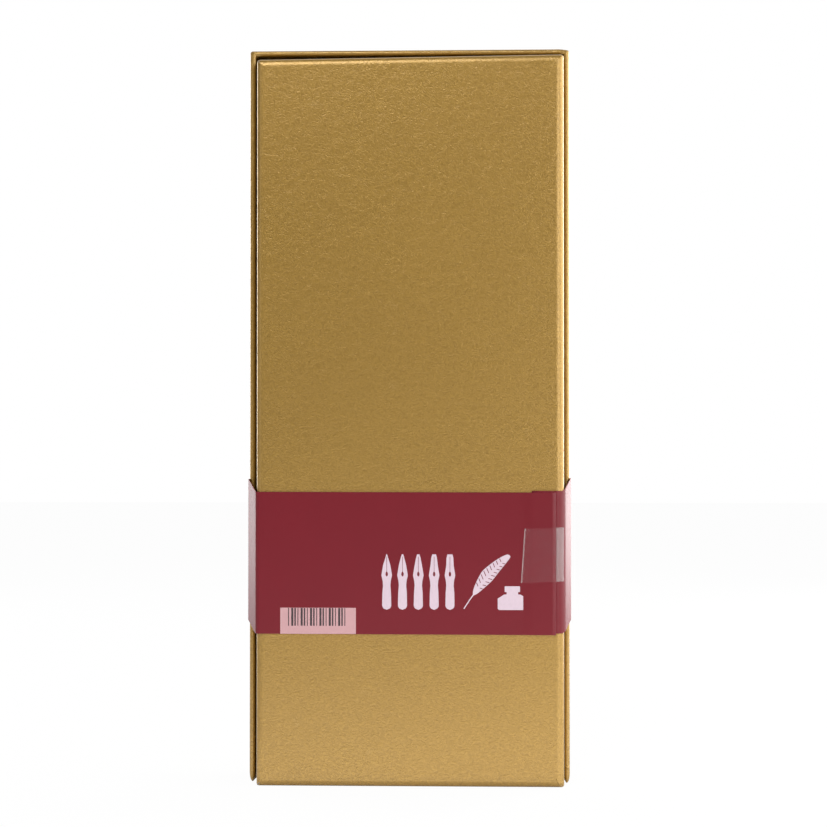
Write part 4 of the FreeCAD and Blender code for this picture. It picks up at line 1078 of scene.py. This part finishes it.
def moulded(name, tone, roughness):
    """Moulded plastic with a fine even texture."""
    plastic = Finish(name, {"Roughness": roughness, "Coat Weight": 0.2})
    fine = plastic.noise(1500.0)
    plastic.link(plastic.mix(fine, tone, shade(tone, 1.25)), "Base Color")
    plastic.relief(fine, 0.08, 0.00003)
    return plastic.material


def shaft_horn():
    """Translucent horn with streaks along the shaft."""
    horn = bpy.context.scene.gift_set.horn
    shaft = Finish("quill_horn", {"Roughness": 0.32, "Subsurface Weight": 0.15, "Subsurface Scale": 0.002})
    streak = shaft.noise(500.0, 3.0, shaft.stretched((1, 1, 0.06)))
    shaft.link(shaft.mix(shaft.span(streak, 0.35, 0.7), shade(horn, 0.7), horn), "Base Color")
    return shaft.material


class GIFTBOX_OT_writing_set(bpy.types.Operator):
    """Finishes the shaft, the holder, the nibs and the ink bottle"""

    bl_idname = "giftbox.writing_set"
    bl_label = "Writing set"

    def execute(self, context):
        pen = context.scene.gift_set
        dress(shaft_horn(), "quill_shaft")
        dress(metal("turned_brass", pen.brass, 0.24, (1, 1, 12)), "nib_holder")
        spares = [f"spare_nib_{point}" for point in ("fine", "medium", "broad", "stub", "italic")]
        dress(metal("nib_steel_pressed", pen.steel, 0.26, (8, 8, 1)), "fitted_nib", *spares)
        dress(bottle_glass(), "ink_bottle")
        dress(liquid_ink(), "ink")
        dress(moulded("cap_black", (0.012, 0.012, 0.013), 0.3), "ink_cap")
        dress(moulded("cap_liner_white", (0.68, 0.67, 0.64), 0.6), "cap_liner")
        return {"FINISHED"}


BRIGHT_WAY = (0.35, 0.94, 0.0)
FLOOR_HALF, FLOOR_LEVEL = 4000.0, -0.05


def studio_world(room):
    """White behind the box and at its right, grey at the left and behind the camera.

    The grey turns white by a smooth step of the direction's share along BRIGHT_WAY. The camera sees plain
    white.
    """
    world = bpy.data.worlds.new("studio")
    bpy.context.scene.world = world
    world.use_nodes = True
    tree = world.node_tree
    tree.nodes.clear()
    way = add_node(tree, "TexCoord").outputs["Generated"]
    along = add_node(tree, "VectorMath", {0: way, 1: BRIGHT_WAY}, operation="DOT_PRODUCT").outputs["Value"]
    span = {"Value": along, "From Min": -0.35, "From Max": 0.35, "To Min": room}
    step = add_node(tree, "MapRange", span, interpolation_type="SMOOTHSTEP").outputs["Result"]
    light = add_node(tree, "Background", {"Color": step}).outputs[0]
    plain = add_node(tree, "Background", {"Color": (1, 1, 1, 1)}).outputs[0]
    seen = add_node(tree, "LightPath").outputs["Is Camera Ray"]
    choose = add_node(tree, "MixShader", {0: seen, 1: light, 2: plain}).outputs[0]
    add_node(tree, "OutputWorld", {"Surface": choose})


def soft_light(name, place, target, size, watts):
    """A rectangular lamp that faces the target and isn't seen itself."""
    lamp = bpy.data.lights.new(name, "AREA")
    lamp.shape = "RECTANGLE"
    lamp.size, lamp.size_y = size
    lamp.energy = watts
    holder = bpy.data.objects.new(name, lamp)
    bpy.context.scene.collection.objects.link(holder)
    holder.location = place
    x, y, z = np.subtract(place, target)
    holder.rotation_euler = (math.atan2(math.hypot(x, y), z), 0, math.atan2(x, -y))
    holder.visible_camera = False


def floor_finish():
    """White floor with a faint shadow: nearly plain white to the camera, gloss and glass, matt to light.

    To gloss it is darker far away and where the object stands close over it.
    """
    white = Finish("white_floor", {"Base Color": (0.85, 0.85, 0.85, 1), "Roughness": 0.9})
    glow = white.add("Emission", {"Color": (1, 1, 1, 1), "Strength": 1.0})
    path = white.add("LightPath").outputs
    mirrored = white.calc("MAXIMUM", path["Is Glossy Ray"], path["Is Transmission Ray"])
    open_sky = white.add("AmbientOcclusion", {"Distance": 0.008}, samples=8).outputs["AO"]
    distance = white.add("VectorMath", {0: white.place}, operation="LENGTH").outputs["Value"]
    far = white.span(distance, 0.6, 1.6, 1.0, 0.5)
    dim = white.calc("MULTIPLY", white.calc("POWER", open_sky, 1.5), far)
    shaded = white.calc("MULTIPLY", mirrored, dim)
    seen = white.calc("MULTIPLY", white.calc("MAXIMUM", path["Is Camera Ray"], shaded), 0.96)
    choose = white.add("MixShader", {0: seen, 1: white.shader.outputs[0], 2: glow.outputs[0]})
    white.tree.links.new(choose.outputs[0], white.tree.nodes["Material Output"].inputs["Surface"])
    return white.material


class GIFTBOX_OT_stage(bpy.types.Operator):
    """Sets the floor, the soft lights and the camera"""

    bl_idname = "giftbox.stage"
    bl_label = "Stage"

    def execute(self, context):
        stage = context.scene.gift_stage
        context.scene.view_settings.view_transform = "Standard"
        studio_world(stage.room)
        side = np.linspace(-FLOOR_HALF, FLOOR_HALF, 3)
        ground = np.stack(np.broadcast_arrays(side, side[:, None], FLOOR_LEVEL), axis=-1)
        floor = make_piece("floor", [grid_patch(ground)], [floor_finish()], merge=0)
        middle = (0, 0, 0.15)
        soft_light("left_light", (-1.1, -0.9, 0.5), middle, (0.6, 0.9), stage.left_power)
        soft_light("right_light", (1.1, -0.1, 0.4), middle, (1.6, 1.1), stage.right_power)
        soft_light("top_light", (-0.3, -0.95, 1.0), middle, (0.7, 0.55), stage.top_power)
        soft_light("left_back_light", (-0.9, 0.75, 0.3), middle, (0.5, 0.7), stage.left_back_power)
        soft_light("right_back_light", (0.8, 0.85, 0.3), middle, (0.5, 0.7), stage.right_back_power)
        soft_light("key_light", (0.55, -1.0, 0.35), middle, (0.4, 0.8), stage.key_power)
        soft_light("floor_card", (0.03, -0.17, 0.0006), (0.03, -0.17, 1.0), (0.3, 0.29), stage.card_power)
        camera = bpy.data.objects.new("camera", bpy.data.cameras.new("camera"))
        context.scene.collection.objects.link(camera)
        camera.data.sensor_width = 36
        camera.data.lens = stage.lens
        camera.location = stage.eye
        camera.rotation_euler = (math.pi / 2 + stage.tilt, 0, stage.turn)
        context.scene.camera = camera
        return {"FINISHED"}


PIECES = (
    GIFTBOX_OT_base_covering,
    GIFTBOX_OT_lid_boards,
    GIFTBOX_OT_lid_covering,
    GIFTBOX_OT_hinge_paper,
    GIFTBOX_OT_paper_band,
    GIFTBOX_OT_band_print,
    GIFTBOX_OT_clear_tape,
    GIFTBOX_OT_quill_feather,
    GIFTBOX_OT_boards,
    GIFTBOX_OT_insert,
    GIFTBOX_OT_writing_set,
    GIFTBOX_OT_stage,
)
SETTINGS = (
    ("gift_cover", CoverSettings),
    ("gift_band", BandSettings),
    ("gift_set", SetSettings),
    ("gift_stage", StageSettings),
)


class GIFTBOX_PT_sidebar(bpy.types.Panel):
    """Sizes, colours and steps of the gift box"""

    bl_idname = "GIFTBOX_PT_sidebar"
    bl_label = "Gift Box"
    bl_space_type = "VIEW_3D"
    bl_region_type = "UI"
    bl_category = "Gift Box"

    def draw(self, context):
        for name, group in SETTINGS:
            section = self.layout.box()
            for field in group.__annotations__:
                section.prop(getattr(context.scene, name), field)
        for piece in PIECES:
            self.layout.operator(piece.bl_idname)


def register():
    """Makes the settings, the operators and the sidebar known."""
    for kind in [group for _, group in SETTINGS] + [*PIECES, GIFTBOX_PT_sidebar]:
        bpy.utils.register_class(kind)
    for name, group in SETTINGS:
        setattr(bpy.types.Scene, name, bpy.props.PointerProperty(type=group))


def unregister():
    """Takes them away again."""
    for name, _ in SETTINGS:
        delattr(bpy.types.Scene, name)
    for kind in [GIFTBOX_PT_sidebar, *PIECES] + [group for _, group in SETTINGS]:
        bpy.utils.unregister_class(kind)


def main():
    """Makes every piece in order."""
    register()
    bpy.ops.giftbox.base_covering()
    bpy.ops.giftbox.lid_boards()
    bpy.ops.giftbox.lid_covering()
    bpy.ops.giftbox.hinge_paper()
    bpy.ops.giftbox.paper_band()
    bpy.ops.giftbox.band_print()
    bpy.ops.giftbox.clear_tape()
    bpy.ops.giftbox.quill_feather()
    bpy.ops.giftbox.boards()
    bpy.ops.giftbox.insert()
    bpy.ops.giftbox.writing_set()
    bpy.ops.giftbox.stage()


if __name__ == "__main__":
    main()
